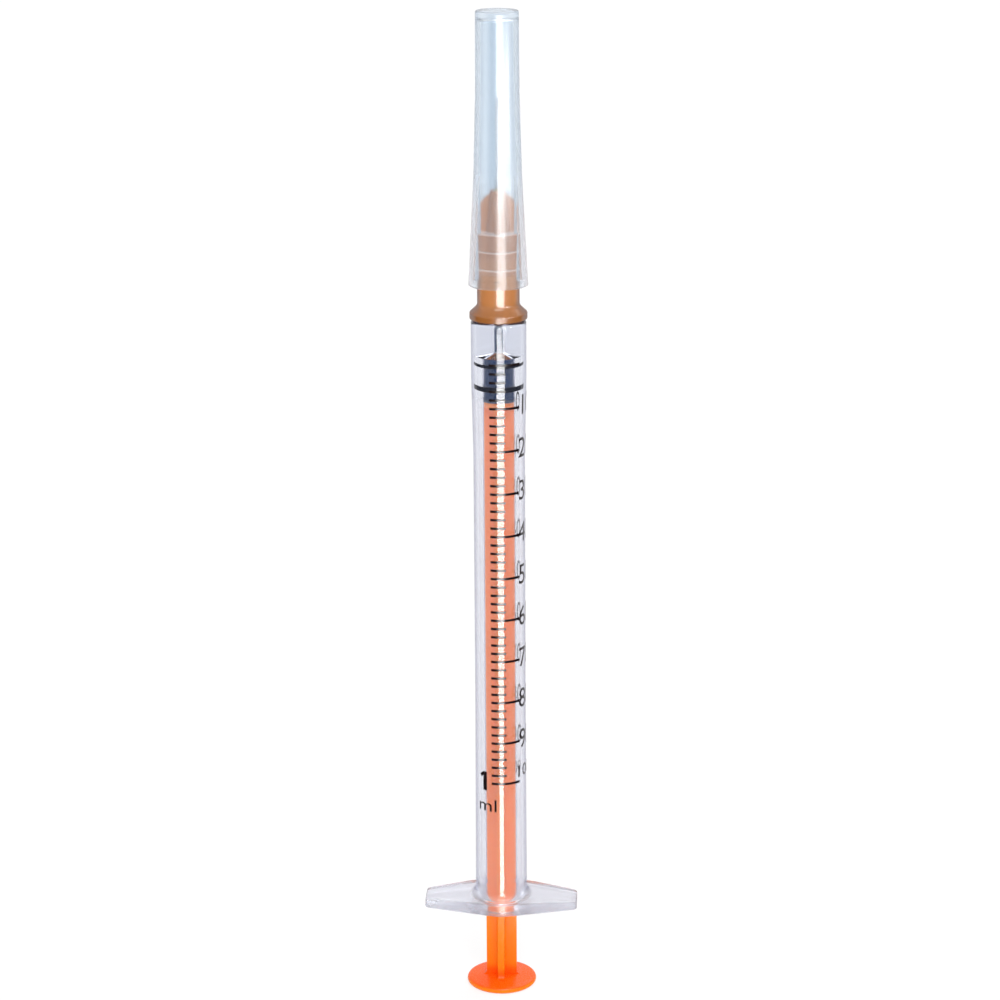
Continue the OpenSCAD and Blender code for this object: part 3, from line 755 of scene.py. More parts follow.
def orange_polypropylene(colours, rod):
    """Orange polypropylene, injection moulded: semi-gloss, with a painted redder shade at its thick foot,
    faint flow streaks.
    """
    material, tree = new_material("orange_moulded_polypropylene")
    streaks = pattern(tree, 0.5, stretch=14)
    grain = pattern(tree, 0.16, detail=4.0)
    # Painted shade: redder between these heights, round the foot of the fins
    rising = by_height(tree, rod.deep_low, rod.rim_t, 0, 1)
    fading = by_height(tree, rod.deep_high, rod.deep_end, 1, 0)
    foot = add(tree, "ShaderNodeMath", {0: rising, 1: fading}, operation="MULTIPLY")
    shader = add(
        tree,
        "ShaderNodeBsdfPrincipled",
        {
            "Base Color": layered(tree, colours.rod, (streaks, colours.rod_deep), (foot, colours.rod_foot)),
            "Roughness": pattern(tree, 0.16, detail=4.0, limits=(0.22, 0.32)),
            "Normal": add(tree, "ShaderNodeBump", {"Height": grain, "Distance": 0.006 * MM}),
            "IOR": POLYPROPYLENE_IOR,
            "Specular IOR Level": 0.2,
            "Subsurface Weight": 0.25,
            "Subsurface Radius": (1.0, 0.35, 0.08),
            "Subsurface Scale": 0.8 * MM,
        },
    )
    add(tree, "ShaderNodeOutputMaterial", {"Surface": shader})
    return material


def amber_polypropylene(colours, hub):
    """Amber polypropylene, injection moulded: translucent with a glossy skin, milkier up its socket."""
    material, tree = new_material("amber_moulded_polypropylene")
    # Painted shade: darker at the thick rim and where the eye looks along the wall
    wall = layered(
        tree,
        colours.hub,
        (pattern(tree, 1.6), shaded(colours.hub, 0.92)),
        (by_height(tree, hub.deep_high, hub.deep_end, 1, 0), colours.hub_foot),
        (along_wall(tree, 0.25, 0.75), colours.hub_edge),
    )
    # The mass is cloudy, so it blurs what is behind it, and its skin is smooth
    clear = add(
        tree,
        "ShaderNodeBsdfPrincipled",
        {
            "Base Color": wall,
            "Roughness": pattern(tree, 0.4, limits=(0.28, 0.36)),
            "Normal": add(tree, "ShaderNodeBump", {"Height": pattern(tree, 0.9), "Distance": 0.004 * MM}),
            "IOR": POLYPROPYLENE_IOR,
            "Transmission Weight": 0.62,
            "Specular IOR Level": 0.3,
            "Coat Weight": 0.7,
            "Coat Roughness": 0.05,
        },
    )
    # The walls of the socket are thin and scatter light, and the ring grooves get a painted highlight
    groove_r = hub.skirt_r - hub.ring_depth
    skirt_end = hub.shoulder + MASK_EDGE / 2
    socket = by_height(tree, hub.milk_low, hub.milk_high, 0, 1)
    groove = by_radius(tree, groove_r + MASK_EDGE / 2, hub.skirt_r - 0.3 * MASK_EDGE, 1, 0)
    for mask in (socket, by_height(tree, skirt_end, skirt_end + 2 * MASK_EDGE, 1, 0)):
        groove = add(tree, "ShaderNodeMath", {0: groove, 1: mask}, operation="MULTIPLY")
    milk = layered(tree, wall, (socket, colours.hub_milk), (groove, colours.hub_groove))
    at_edge = add(tree, "ShaderNodeMath", {0: along_wall(tree, 0.4, 0.85), 1: 0.55}, operation="MULTIPLY")
    up_socket = by_height(tree, hub.milk_low, hub.milk_high, 0.15, 0.55)
    milky = add(tree, "ShaderNodeMath", {0: at_edge, 1: up_socket}, operation="MAXIMUM")
    scatter = add(tree, "ShaderNodeBsdfDiffuse", {"Color": milk})
    shader = add(tree, "ShaderNodeMixShader", {0: milky, 1: clear, 2: scatter})
    clear_output(tree, shader, colours.hub_deep, density=430.0)
    return material


def frosted_polypropylene(colours, cap):
    """Polypropylene moulded in a lightly blasted mould: cloudy inside, with a soft bright skin."""
    material, tree = new_material("frosted_moulded_polypropylene")
    # The blasting is finer than a tenth of a millimetre and is drawn at that, so that it shows
    frost = pattern(tree, 0.11, detail=4.0)
    # Painted shade: a darker middle, lighter sides and shaded edges, paler in the wide part over the hub
    low_part = by_height(tree, cap.pale_high, cap.pale_end, 1, 0)
    edge = layered(tree, colours.cap_edge, (low_part, colours.cap_mouth))
    wall = layered(
        tree,
        colours.cap_middle,
        (along_wall(tree, 0.03, 0.14), colours.cap),
        (along_wall(tree, 0.25, 0.6), edge),
    )
    shader = add(
        tree,
        "ShaderNodeBsdfPrincipled",
        {
            "Base Color": wall,
            "Roughness": pattern(tree, 2.4, stretch=3, limits=(0.2, 0.26)),
            "Normal": add(tree, "ShaderNodeBump", {"Height": frost, "Distance": 0.003 * MM}),
            "IOR": POLYPROPYLENE_IOR,
            "Transmission Weight": 0.95,
        },
    )
    clear_output(tree, shader, colours.cap_deep, density=50.0)
    return material


def drawn_steel(colours):
    """Stainless steel tube, drawn and polished: fine lines along the tube, and a painted dark shade on its
    sides.
    """
    material, tree = new_material("drawn_stainless_steel")
    lines = pattern(tree, 0.03, detail=2.0, stretch=60)
    # Painted reflection: the tube's sides drawn dark, as the dark studio would show in them
    side = along_wall(tree, 0.1, 0.7)
    tube = layered(tree, colours.steel, (lines, shaded(colours.steel, 0.85)), (side, colours.steel_edge))
    shader = add(
        tree,
        "ShaderNodeBsdfPrincipled",
        {
            "Base Color": tube,
            "Roughness": pattern(tree, 0.03, detail=2.0, stretch=60, limits=(0.14, 0.28)),
            "Normal": add(tree, "ShaderNodeBump", {"Height": lines, "Distance": 0.002 * MM}),
            "Metallic": 1.0,
        },
    )
    add(tree, "ShaderNodeOutputMaterial", {"Surface": shader})
    return material


def cured_epoxy(colours):
    """Cured epoxy: a glossy, slightly yellow drop."""
    material, tree = new_material("cured_epoxy")
    cloud = pattern(tree, 0.4, detail=2.0)
    shader = add(
        tree,
        "ShaderNodeBsdfPrincipled",
        {
            "Base Color": layered(tree, colours.resin, (cloud, shaded(colours.resin, 0.9))),
            "Roughness": pattern(tree, 0.4, detail=2.0, limits=(0.06, 0.12)),
            "IOR": 1.55,
            "Transmission Weight": 0.6,
        },
    )
    clear_output(tree, shader, colours.resin, density=300.0)
    return material


def floor_paper(colours):
    """Matt white paper that keeps its soft shadow and shows as white behind the clear pieces."""
    material, tree = new_material("matt_white_paper")
    fibres = pattern(tree, 0.8, detail=4.0)
    paper = layered(tree, colours.floor, (fibres, shaded(colours.floor, 0.985)))
    matt = add(tree, "ShaderNodeBsdfDiffuse", {"Color": paper})
    white = add(tree, "ShaderNodeEmission", {"Color": colours.floor, "Strength": 1.0})
    share = add(tree, "ShaderNodeMath", {0: seen_share(tree), 1: 0.7}, operation="MULTIPLY")
    shader = add(tree, "ShaderNodeMixShader", {0: share, 1: matt, 2: white})
    add(tree, "ShaderNodeOutputMaterial", {"Surface": shader})
    return material


def card_output(tree, shown, shader):
    """The output of a studio card: open air for all rays but the shown ones."""
    open_air = add(tree, "ShaderNodeBsdfTransparent")
    mixed = add(tree, "ShaderNodeMixShader", {0: shown, 1: open_air, 2: shader})
    add(tree, "ShaderNodeOutputMaterial", {"Surface": mixed})


def strip_glow(colours, level):
    """The even glow of a light's diffuser, which lies on the outermost gloss alone."""
    material, tree = new_material("strip_light_diffuser")
    walls = add(tree, "ShaderNodeLightPath", out="Transmission Depth")
    outermost = add(tree, "ShaderNodeMath", {0: walls, 1: NOT_YET}, operation="LESS_THAN")
    glow = add(tree, "ShaderNodeEmission", {"Color": colours.light, "Strength": level})
    card_output(tree, outermost, glow)
    return material


def flag_cloth(colours, name, inside):
    """Black cloth in front of the syringe that only mirrored light meets, so the gloss has depth.

    It lies on the outermost gloss, and where inside is set, also on gloss behind a whole clear wall.
    """
    material, tree = new_material(name)
    walls = add(tree, "ShaderNodeLightPath", out="Transmission Depth")
    mirrors = add(tree, "ShaderNodeLightPath", out="Glossy Depth")
    reached = add(tree, "ShaderNodeMath", {0: walls, 1: NOT_YET}, operation="LESS_THAN")
    if inside:
        behind = add(tree, "ShaderNodeMath", {0: walls, 1: WALL_AND_BACK}, operation="GREATER_THAN")
        reached = add(tree, "ShaderNodeMath", {0: reached, 1: behind}, operation="MAXIMUM")
    mirrored = add(tree, "ShaderNodeMath", {0: mirrors, 1: NOT_YET}, operation="GREATER_THAN")
    shown = add(tree, "ShaderNodeMath", {0: mirrored, 1: reached}, operation="MULTIPLY")
    cloth = add(tree, "ShaderNodeEmission", {"Color": colours.cloth, "Strength": 1.0})
    card_output(tree, shown, cloth)
    return material


# The barrel and its print


def barrel_outside(sizes):
    """The outside of the barrel as (radius, height), from the flange's top to the shoulder."""
    return [
        (sizes.foot_r, BARREL_LOW.z + sizes.flange_t),
        (sizes.body_r, sizes.straight_low),
        (sizes.body_r, sizes.straight_high),
        (sizes.head_r, sizes.head_z),
        (sizes.head_r, sizes.shoulder),
    ]


def flange_outline(sizes):
    """Outline of the finger flange, one point for each step round the axis."""
    middle_r = BARREL_HIGH.y
    corner_r = sizes.flange_corner_r
    tip = Vector((BARREL_HIGH.x - corner_r, sizes.flange_tip_half - corner_r))
    turn = math.atan2(tip.y, tip.x) + math.acos((middle_r - corner_r) / tip.length)
    edge = Vector((math.cos(turn), math.sin(turn)))
    root = edge * middle_r
    corner = tip + edge * corner_r

    def tip_face(share):
        return BARREL_HIGH.x, share * tip.y

    def corner_arc(share):
        return tip.x + corner_r * math.cos(share * turn), tip.y + corner_r * math.sin(share * turn)

    def side(share):
        return tuple(corner.lerp(root, share))

    def middle_arc(share):
        here = turn + share * (math.pi / 2 - turn)
        return middle_r * math.cos(here), middle_r * math.sin(here)

    pieces = [
        (tip.y, tip_face),
        (corner_r * turn, corner_arc),
        ((corner - root).length, side),
        (middle_r * (math.pi / 2 - turn), middle_arc),
    ]
    return around(even_outline(TURN_STEPS // 4, pieces))


def pull_out_flange(bm, sizes):
    """Moves the flange's round rim out to its real outline and lets its upper face fall to the tips."""
    low = BARREL_LOW.z
    rim_r = BARREL_HIGH.y
    mouth_r = sizes.bore_r + sizes.mouth_lead
    level_r = sizes.foot_r + sizes.flange_fillet
    fall = (sizes.flange_t - sizes.flange_tip_t) / (BARREL_HIGH.x - level_r)
    outline = flange_outline(sizes)
    rims = []
    for edge in bm.edges:
        heights = [v.co.z for v in edge.verts]
        on_rim = all(abs(radius_of(v.co) - rim_r) < WELD for v in edge.verts)
        if on_rim and abs(heights[0] - heights[1]) < WELD:
            rims.append(edge)
    for vert in bm.verts:
        r = radius_of(vert.co)
        under = abs(vert.co.z - low) < WELD
        start_r = mouth_r if under else level_r
        if vert.co.z > low + sizes.flange_t + WELD or r <= start_r + WELD:
            continue
        share = (r - start_r) / (rim_r - start_r)
        target = outline[step_of(vert.co)]
        inner = vert.co.xy / r * start_r
        vert.co.xy = inner.lerp(Vector(target), share)
        if not under:
            vert.co.z -= max(0.0, abs(vert.co.x) - level_r) * fall
    rounded(bm, rims, sizes.flange_edge, segments=3)


class SYRINGE_OT_barrel(Operator):
    """Makes the clear barrel with its finger flange and luer nozzle"""

    bl_idname = "syringe.barrel"
    bl_label = "Barrel"

    def execute(self, context):
        """Turns the wall, pulls out the flange and gives it clear polypropylene."""
        sizes = context.scene.syringe_barrel
        low = BARREL_LOW.z
        top = low + sizes.flange_t
        rim_r = BARREL_HIGH.y
        level_r = sizes.foot_r + sizes.flange_fillet
        mouth_r = sizes.bore_r + sizes.mouth_lead
        bead_r = sizes.bore_r - sizes.bead_rise
        # Points beside the rim and above the fillet, so that what lies past them shades as straight
        inside_rim = 0.35 * MM
        above_fillet = 0.4 * MM
        profile = [
            (mouth_r, low),
            ((mouth_r + rim_r) / 2, low),
            (rim_r - inside_rim, low),
            (rim_r, low),
            (rim_r, top),
            (level_r, top),
            (sizes.foot_r, top, sizes.flange_fillet),
            (sizes.foot_r, top + sizes.flange_fillet + above_fillet),
            (sizes.body_r, sizes.straight_low),
            (sizes.body_r, sizes.straight_high),
            (sizes.head_r, sizes.head_z),
            (sizes.head_r, sizes.shoulder, sizes.shoulder_round),
            (sizes.nozzle_root_r, sizes.shoulder),
            (sizes.nozzle_tip_r, BARREL_HIGH.z, sizes.nozzle_round),
            (sizes.channel_r, BARREL_HIGH.z),
            (sizes.channel_r, sizes.bore_end + sizes.funnel, sizes.channel_round),
            (sizes.bore_r, sizes.bore_end, sizes.bore_round),
            (sizes.bore_r, sizes.bead_z + 2 * sizes.bead_slope),
            (bead_r, sizes.bead_z + sizes.bead_slope),
            (sizes.bore_r, sizes.bead_z),
            (sizes.bore_r, low + sizes.mouth_lead),
        ]
        bm = turned(profile)
        weld(bm)
        pull_out_flange(bm, sizes)
        material = clear_polypropylene(context.scene.syringe_colours, sizes)
        finish_turned(bm, "clear_barrel", "barrel", material, "barrel")
        return {"FINISHED"}


def flat_text(words, height, widen):
    """A bmesh of flat printed words that starts at x 0, with its middle at y 0 and its back at z 0."""
    curve = bpy.data.curves.new("print_text", "FONT")
    curve.body = words
    curve.extrude = HALF_INK
    curve.resolution_u = 3
    holder = bpy.data.objects.new("print_text", curve)
    bpy.context.scene.collection.objects.link(holder)
    bpy.context.view_layer.update()
    mesh = holder.to_mesh()
    bm = bmesh.new()
    bm.from_mesh(mesh)
    holder.to_mesh_clear()
    bpy.data.objects.remove(holder)
    bpy.data.curves.remove(curve)
    bmesh.ops.remove_doubles(bm, verts=bm.verts[:], dist=TYPE_WELD)
    ys = [v.co.y for v in bm.verts]
    up = height / (max(ys) - min(ys))
    bmesh.ops.translate(bm, verts=bm.verts[:], vec=(0, -(min(ys) + max(ys)) / 2, HALF_INK))
    bmesh.ops.scale(bm, verts=bm.verts[:], vec=(up * widen, up, 1.0))
    return bm


def flat_one(height, thick):
    """A bmesh of a flat bold figure 1, whose flag starts at x 0, with its middle at y 0."""
    bm = bmesh.new()
    reach = height / 3
    stem = bmesh.ops.create_cube(bm, size=2 * HALF_INK)["verts"]
    bmesh.ops.scale(bm, verts=stem, vec=(thick, height, 1.0))
    bmesh.ops.translate(bm, verts=stem, vec=(reach, 0, 0))
    # The flag is a little thinner than the stem, so that their faces don't lie in one plane
    flag_size = (reach, 0.75 * thick, 0.98)
    flag_middle = (0.55 * reach, 0.36 * height, 0)
    slope = Matrix.Rotation(math.radians(36), 3, "Z")
    flag = bmesh.ops.create_cube(bm, size=2 * HALF_INK)["verts"]
    bmesh.ops.scale(bm, verts=flag, vec=flag_size)
    bmesh.ops.rotate(bm, verts=flag, cent=(0, 0, 0), matrix=slope)
    bmesh.ops.translate(bm, verts=flag, vec=flag_middle)
    bmesh.ops.translate(bm, verts=bm.verts[:], vec=(0, 0, HALF_INK))
    return bm


def wrap_print(bm, barrel, ink, turn, middle_z):
    """Bends flat print round the barrel, from an angle on towards +X, with its middle at a height."""
    outside = barrel_outside(barrel)
    # The wall is round, so the print is cut into narrow slices before it is bent
    slice_w = 0.2 * MM
    right = max(v.co.x for v in bm.verts)
    for i in range(1, int(right / slice_w) + 1):
        bmesh.ops.bisect_plane(
            bm,
            geom=bm.verts[:] + bm.edges[:] + bm.faces[:],
            dist=WELD / 10,
            plane_co=(i * slice_w, 0, 0),
            plane_no=(1, 0, 0),
        )
    for vert in bm.verts:
        z = middle_z + vert.co.y
        wall_r = radius_at(outside, z)
        r = wall_r + ink.ink_gap + vert.co.z * ink.ink_t
        here = turn + vert.co.x / wall_r
        vert.co = (r * math.sin(here), -r * math.cos(here), z)
    return bm


def print_piece(parts, name, material):
    """Joins wrapped print into one piece."""
    whole = bmesh.new()
    for part in parts:
        mesh = bpy.data.meshes.new("print_part")
        part.to_mesh(mesh)
        part.free()
        whole.from_mesh(mesh)
        bpy.data.meshes.remove(mesh)
    finish_piece(whole, name, "barrel", material)


class SYRINGE_OT_print(Operator):
    """Makes the printed numbers and gives the graduation its ink"""

    bl_idname = "syringe.print_marks"
    bl_label = "Print"

    def execute(self, context):
        """Wraps a number round the barrel at each long line, and the volume and its unit at the last."""
        barrel = context.scene.syringe_barrel
        ink = context.scene.syringe_print
        material = printing_ink(context.scene.syringe_colours)
        give_finish("graduation_marks", material)
        zero = MARKS_HIGH.z - ink.line_w / 2
        last = MARKS_LOW.z + ink.line_w / 2
        numbers = []
        for i in range(ink.long_every, ink.steps, ink.long_every):
            line_z = zero + (last - zero) * i / ink.steps
            number = flat_text(str(round(100 * i / ink.steps)), ink.number_h, ink.number_widen)
            numbers.append(wrap_print(number, barrel, ink, ink.number_angle, line_z + ink.number_lift))
        full = flat_text("100", ink.last_h, ink.last_widen)
        numbers.append(wrap_print(full, barrel, ink, ink.last_angle, last + ink.last_lift))
        print_piece(numbers, "scale_numbers", material)
        volume = flat_one(ink.volume_h, ink.volume_t)
        volume_z = last - ink.volume_drop + ink.volume_h / 2
        wrap_print(volume, barrel, ink, ink.volume_angle, volume_z)
        unit = flat_text("ml", ink.unit_h, ink.unit_widen)
        wrap_print(unit, barrel, ink, ink.unit_angle, last - ink.unit_drop)
        print_piece([volume, unit], "volume_mark", material)
        return {"FINISHED"}


# The pieces inside the barrel


def rib_points(z, r, t, round_r, root_r):
    """Profile of a rib with rounded edges, from its foot to its top."""
    return [
        (root_r, z - t / 2),
        (r, z - t / 2, round_r),
        (r, z + t / 2, round_r),
        (root_r, z + t / 2),
    ]


class SYRINGE_OT_stopper(Operator):
    """Makes the rubber stopper with its sealing ribs"""

    bl_idname = "syringe.stopper"
    bl_label = "Stopper"

    def execute(self, context):
        """Turns the stopper, whose ribs press on the bore."""
        sizes = context.scene.syringe_stopper
        barrel = context.scene.syringe_barrel
        rear = STOPPER_LOW.z
        tip = STOPPER_HIGH.z
        neck_end = rear + sizes.socket_neck
        collar_end = rear + sizes.collar_t
        collar_round = sizes.collar_t / 4
        ribs = []
        for z, t in ((sizes.main_rib_z, sizes.main_rib_t), (sizes.front_rib_z, sizes.front_rib_t)):
            ribs += rib_points(z, barrel.bore_r + sizes.press, t, t * sizes.rib_round_share, sizes.core_r)
        profile = [
            (0, rear + sizes.socket_end),
            (sizes.socket_tip_r, rear + sizes.socket_end),
            (sizes.socket_r, neck_end + sizes.socket_wall),
            (sizes.socket_r, neck_end),
            (sizes.socket_neck_r, neck_end),
            (sizes.socket_neck_r, rear),
            (sizes.collar_r, rear, collar_round),
            (sizes.collar_r, collar_end, collar_round),
            (sizes.core_r, collar_end),
            *ribs,
            (sizes.core_r, sizes.nose_z, sizes.root_round),
            (barrel.channel_r, tip, sizes.tip_round),
            (0, tip),
        ]
        bm = turned(profile, closed=False)
        material = moulded_rubber(context.scene.syringe_colours, sizes)
        finish_turned(bm, "rubber_stopper", "stopper", material, "stopper")
        return {"FINISHED"}


def cross_points(half, thick, fillet):
    """Outline of crossed fins, one point for each step round the axis."""
    h = thick / 2
    start = h + fillet

    def tip_face(share):
        return half, share * h

    def side(share):
        return half + share * (start - half), h

    def inner_arc(share):
        here = share * math.pi / 4
        return start - fillet * math.sin(here), start - fillet * math.cos(here)

    pieces = [(h, tip_face), (half - start, side), (fillet * math.pi / 4, inner_arc)]
    eighth = even_outline(TURN_STEPS // 8, pieces)
    return around(eighth + [(y, x) for x, y in reversed(eighth[:-1])])


def fin_width(sizes, z, disc_top):
    """Half width of the fins at a height."""
    fillet = sizes.foot_fillet
    if z < disc_top + fillet:
        gone = max(0.0, disc_top + fillet - z)
        return sizes.fin_low_half + fillet - math.sqrt(max(0.0, fillet**2 - gone**2))
    if z < sizes.taper_low:
        return sizes.fin_low_half
    share = min(1.0, (z - sizes.taper_low) / (sizes.taper_high - sizes.taper_low))
    return sizes.fin_low_half + share * (sizes.fin_half - sizes.fin_low_half)


class SYRINGE_OT_rod(Operator):
    """Makes the plunger rod: thumb disc, crossed fins, plate and snap head"""

    bl_idname = "syringe.rod"
    bl_label = "Plunger rod"

    def execute(self, context):
        """Turns the disc and the head, and moves a turned column out to the crossed fins."""
        sizes = context.scene.syringe_rod
        disc_r = ROD_HIGH.x
        disc_round = ROUND_SHARE * sizes.rim_t / 2
        disc_top = sizes.rim_t + sizes.rise
        plate_low = sizes.plate_top - sizes.plate_t
        fins = bmesh.new()
        rows = [disc_top - sizes.fin_sink, disc_top]
        for i in range(1, FILLET_ROWS + 1):
            rows.append(disc_top + sizes.foot_fillet * (1 - math.cos(i * math.pi / 2 / FILLET_ROWS)))
        rows += [sizes.taper_low, sizes.taper_high, plate_low + sizes.plate_t / 2]
        column = [(0, rows[0])] + [(sizes.fin_half, z) for z in rows] + [(0, rows[-1])]
        turned(column, closed=False, bm=fins)
        weld(fins)
        for vert in fins.verts:
            if radius_of(vert.co) > sizes.fin_half / 2:
                half = fin_width(sizes, vert.co.z, disc_top)
                outline = cross_points(half, sizes.fin_t, sizes.fin_inner_r)
                vert.co.xy = outline[step_of(vert.co)]
        edges = []
        for edge in fins.edges:
            upright = abs(edge.verts[0].co.z - edge.verts[1].co.z) > WELD
            if upright and len(edge.link_faces) == 2 and edge.calc_face_angle(0.0) > FIN_CORNER:
                edges.append(edge)
        rounded(fins, edges, sizes.edge, segments=2)
        disc = [
            (0, 0),
            (disc_r, 0, disc_round),
            (disc_r, sizes.rim_t, disc_round),
            (sizes.fin_low_half, disc_top),
            (0, disc_top),
        ]
        turned(disc, closed=False, bm=fins)
        head = [
            (0, plate_low),
            (sizes.fin_half, plate_low, sizes.plate_round),
            (sizes.fin_half, sizes.plate_top, sizes.plate_round),
            (sizes.neck_r, sizes.plate_top),
            (sizes.neck_r, sizes.neck_top),
            (sizes.snap_r, sizes.neck_top),
            (sizes.snap_tip_r, ROD_HIGH.z),
            (0, ROD_HIGH.z),
        ]
        turned(head, closed=False, bm=fins)
        material = orange_polypropylene(context.scene.syringe_colours, sizes)
        finish_turned(fins, "orange_rod", "plunger_rod", material, "plunger_rod")
        return {"FINISHED"}


# The needle and its cap


def lobed_points(round_r, half, thick, lobes, first_turn):
    """A circle with straight lobes: outwards where half is over round_r, inwards where it is under."""
    h = thick / 2
    root_angle = math.asin(h / round_r)
    root_x = round_r * math.cos(root_angle)
    per_lobe = TURN_STEPS // lobes
    first_step = round(first_turn / FULL_TURN * TURN_STEPS)
    tip_steps, side_steps = 4, 4
    points = []
    for k in range(TURN_STEPS):
        lobe, j = divmod(k - first_step + per_lobe // 2, per_lobe)
        j -= per_lobe // 2
        sign = -1 if j < 0 else 1
        j = abs(j)
        if j <= tip_steps:
            x, y = half, h * j / tip_steps
        elif j <= tip_steps + side_steps:
            share = (j - tip_steps) / side_steps
            x, y = half + share * (root_x - half), h
        else:
            share = (j - tip_steps - side_steps) / (per_lobe / 2 - tip_steps - side_steps)
            here = root_angle + share * (math.pi / lobes - root_angle)
            x, y = round_r * math.cos(here), round_r * math.sin(here)
        turn = first_turn + lobe * FULL_TURN / lobes
        y *= sign
        points.append((x * math.cos(turn) - y * math.sin(turn), x * math.sin(turn) + y * math.cos(turn)))
    return points


class SYRINGE_OT_needle(Operator):
    """Makes the needle hub and gives the cannula and its adhesive their finish"""

    bl_idname = "syringe.needle"
    bl_label = "Needle"

    def execute(self, context):
        """Turns the hub and moves its nose out to the fins."""
        sizes = context.scene.syringe_hub
        colours = context.scene.syringe_colours
        low, high = HUB_LOW.z, HUB_HIGH.z
        rim_r = HUB_HIGH.x
        rim_top = low + sizes.rim_h
        nose_len = high - sizes.shoulder
        fin_top = sizes.fin_h + sizes.fin_half
        heights = [0.0, sizes.fin_h / 2, sizes.fin_h]
        for i in range(1, TIP_ROWS):
            heights.append(sizes.fin_h + sizes.fin_half * math.sin(i * math.pi / 2 / TIP_ROWS))
        heights = [h for h in heights if h < fin_top]
        groove = sizes.skirt_r - sizes.ring_depth
        skirt = []
        for i in (2, 1):
            z = sizes.shoulder - i * sizes.ring_pitch
            skirt += [
                (sizes.skirt_r, z - sizes.ring_w / 2),
                (groove, z),
                (sizes.skirt_r, z + sizes.ring_w / 2),
            ]

        def nose_r(height):
            return sizes.nose_root_r + (sizes.nose_tip_r - sizes.nose_root_r) * height / nose_len

        profile = [
            (sizes.socket_mouth_r, low),
            (rim_r, low, sizes.foot_round),
            (rim_r, low + sizes.foot_round + ROUND_ROOM),
            (rim_r, rim_top - sizes.rim_round - ROUND_ROOM),
            (rim_r, rim_top, sizes.rim_round),
            (sizes.skirt_r, rim_top + sizes.flare_h, sizes.skirt_round),
            *skirt,
            (sizes.skirt_r, sizes.shoulder - sizes.ring_w / 2),
            (groove, sizes.shoulder),
            *[(nose_r(h), sizes.shoulder + h) for h in heights],
            (sizes.nose_tip_r, high),
            (sizes.well_r, high),
            (sizes.well_floor_r, sizes.well_low),
            (sizes.seat_r, sizes.well_low),
            (sizes.seat_r, sizes.seat_low),
            (sizes.passage_r, sizes.seat_low),
            (sizes.passage_r, sizes.socket_end),
            (sizes.socket_end_r, sizes.socket_end),
        ]

        def on_nose(co):
            return sizes.well_r + WELD < radius_of(co) < sizes.nose_root_r + WELD

        bm = turned(profile)
        weld(bm)
        outlines = {}
        for h in heights:
            over = max(0.0, h - sizes.fin_h)
            half = math.sqrt(max(0.0, sizes.fin_half**2 - over**2))
            half = max(half, math.sqrt(nose_r(h) ** 2 - sizes.fin_t**2 / 4))
            outline = lobed_points(nose_r(h), half, sizes.fin_t, HUB_FINS, 0.0)
            outlines[row_of(sizes.shoulder + h)] = outline
        follow_outlines(bm, outlines, on_nose)
        material = amber_polypropylene(colours, sizes)
        finish_turned(bm, "amber_hub", "needle", material, "needle_hub")
        give_finish("cannula", drawn_steel(colours))
        give_finish("adhesive", cured_epoxy(colours))
        return {"FINISHED"}


class SYRINGE_OT_cap(Operator):
    """Makes the frosted needle cap with its grip ribs"""

    bl_idname = "syringe.cap"
    bl_label = "Needle cap"

    def execute(self, context):
        """Turns the cap's wall and moves the inside in to the ribs."""
        sizes = context.scene.syringe_cap
        low, high = CAP_LOW.z, CAP_HIGH.z
        outside = [
            (sizes.mouth_r, low),
            (sizes.neck_r, sizes.neck_z),
            (sizes.waist_r, sizes.waist_z),
            (sizes.top_r, high),
        ]

        def inner_r(z):
            return radius_at(outside, z) - sizes.wall

        def on_inside(co):
            return abs(radius_of(co) - inner_r(co.z)) < 3 * WELD

        # A rib that the flared wall leaves behind stays just inside it
        just_inside = 0.9999
        low_rows, high_rows = 5, 6
        low_run = sizes.rib_step - sizes.rib_low - 2 * sizes.rib_ramp
        high_run = sizes.neck_z - sizes.rib_step
        ribbed = [sizes.rib_low + sizes.rib_ramp + low_run * i / low_rows for i in range(low_rows + 1)]
        ribbed.append(sizes.rib_step + sizes.rib_ramp)
        ribbed += [sizes.rib_step + high_run * i / high_rows for i in range(1, high_rows)]
        floor_z = high - sizes.end_t
        profile = [
            (0, floor_z),
            (inner_r(floor_z), floor_z, sizes.end_round),
            (inner_r(sizes.waist_z), sizes.waist_z),
            *[(inner_r(z), z) for z in (sizes.neck_z, *reversed(ribbed), sizes.rib_low)],
            (inner_r(low), low, sizes.mouth_round_in),
            (sizes.mouth_r, low, sizes.mouth_round),
            (sizes.neck_r, sizes.neck_z),
            (sizes.waist_r, sizes.waist_z),
            (sizes.top_r, high, sizes.top_round),
            (0, high),
        ]
        bm = turned(profile, closed=False)
        weld(bm)
        outlines = {}
        for z in ribbed:
            half = sizes.rib_r if z < sizes.rib_step else sizes.rib_high_r
            half = min(half, inner_r(z) * just_inside)
            outlines[row_of(z)] = lobed_points(inner_r(z), half, sizes.rib_t, CAP_RIBS, sizes.rib_turn)
        follow_outlines(bm, outlines, on_inside)
        material = frosted_polypropylene(context.scene.syringe_colours, sizes)
        finish_turned(bm, "frosted_cap", "needle_cap", material, "needle_cap")
        return {"FINISHED"}


# The studio


def soft_lamp(name, level, azimuth, elevation, width):
    """A distant soft lamp, with angles in degrees: level is how bright it makes paper that faces it."""
    light = bpy.data.lights.new(name, "SUN")
    light.energy = level * math.pi
    light.angle = math.radians(width)
    lamp = bpy.data.objects.new(name, light)
    lamp.rotation_euler = (math.radians(90 - elevation), 0, math.radians(azimuth))
    bpy.context.scene.collection.objects.link(lamp)


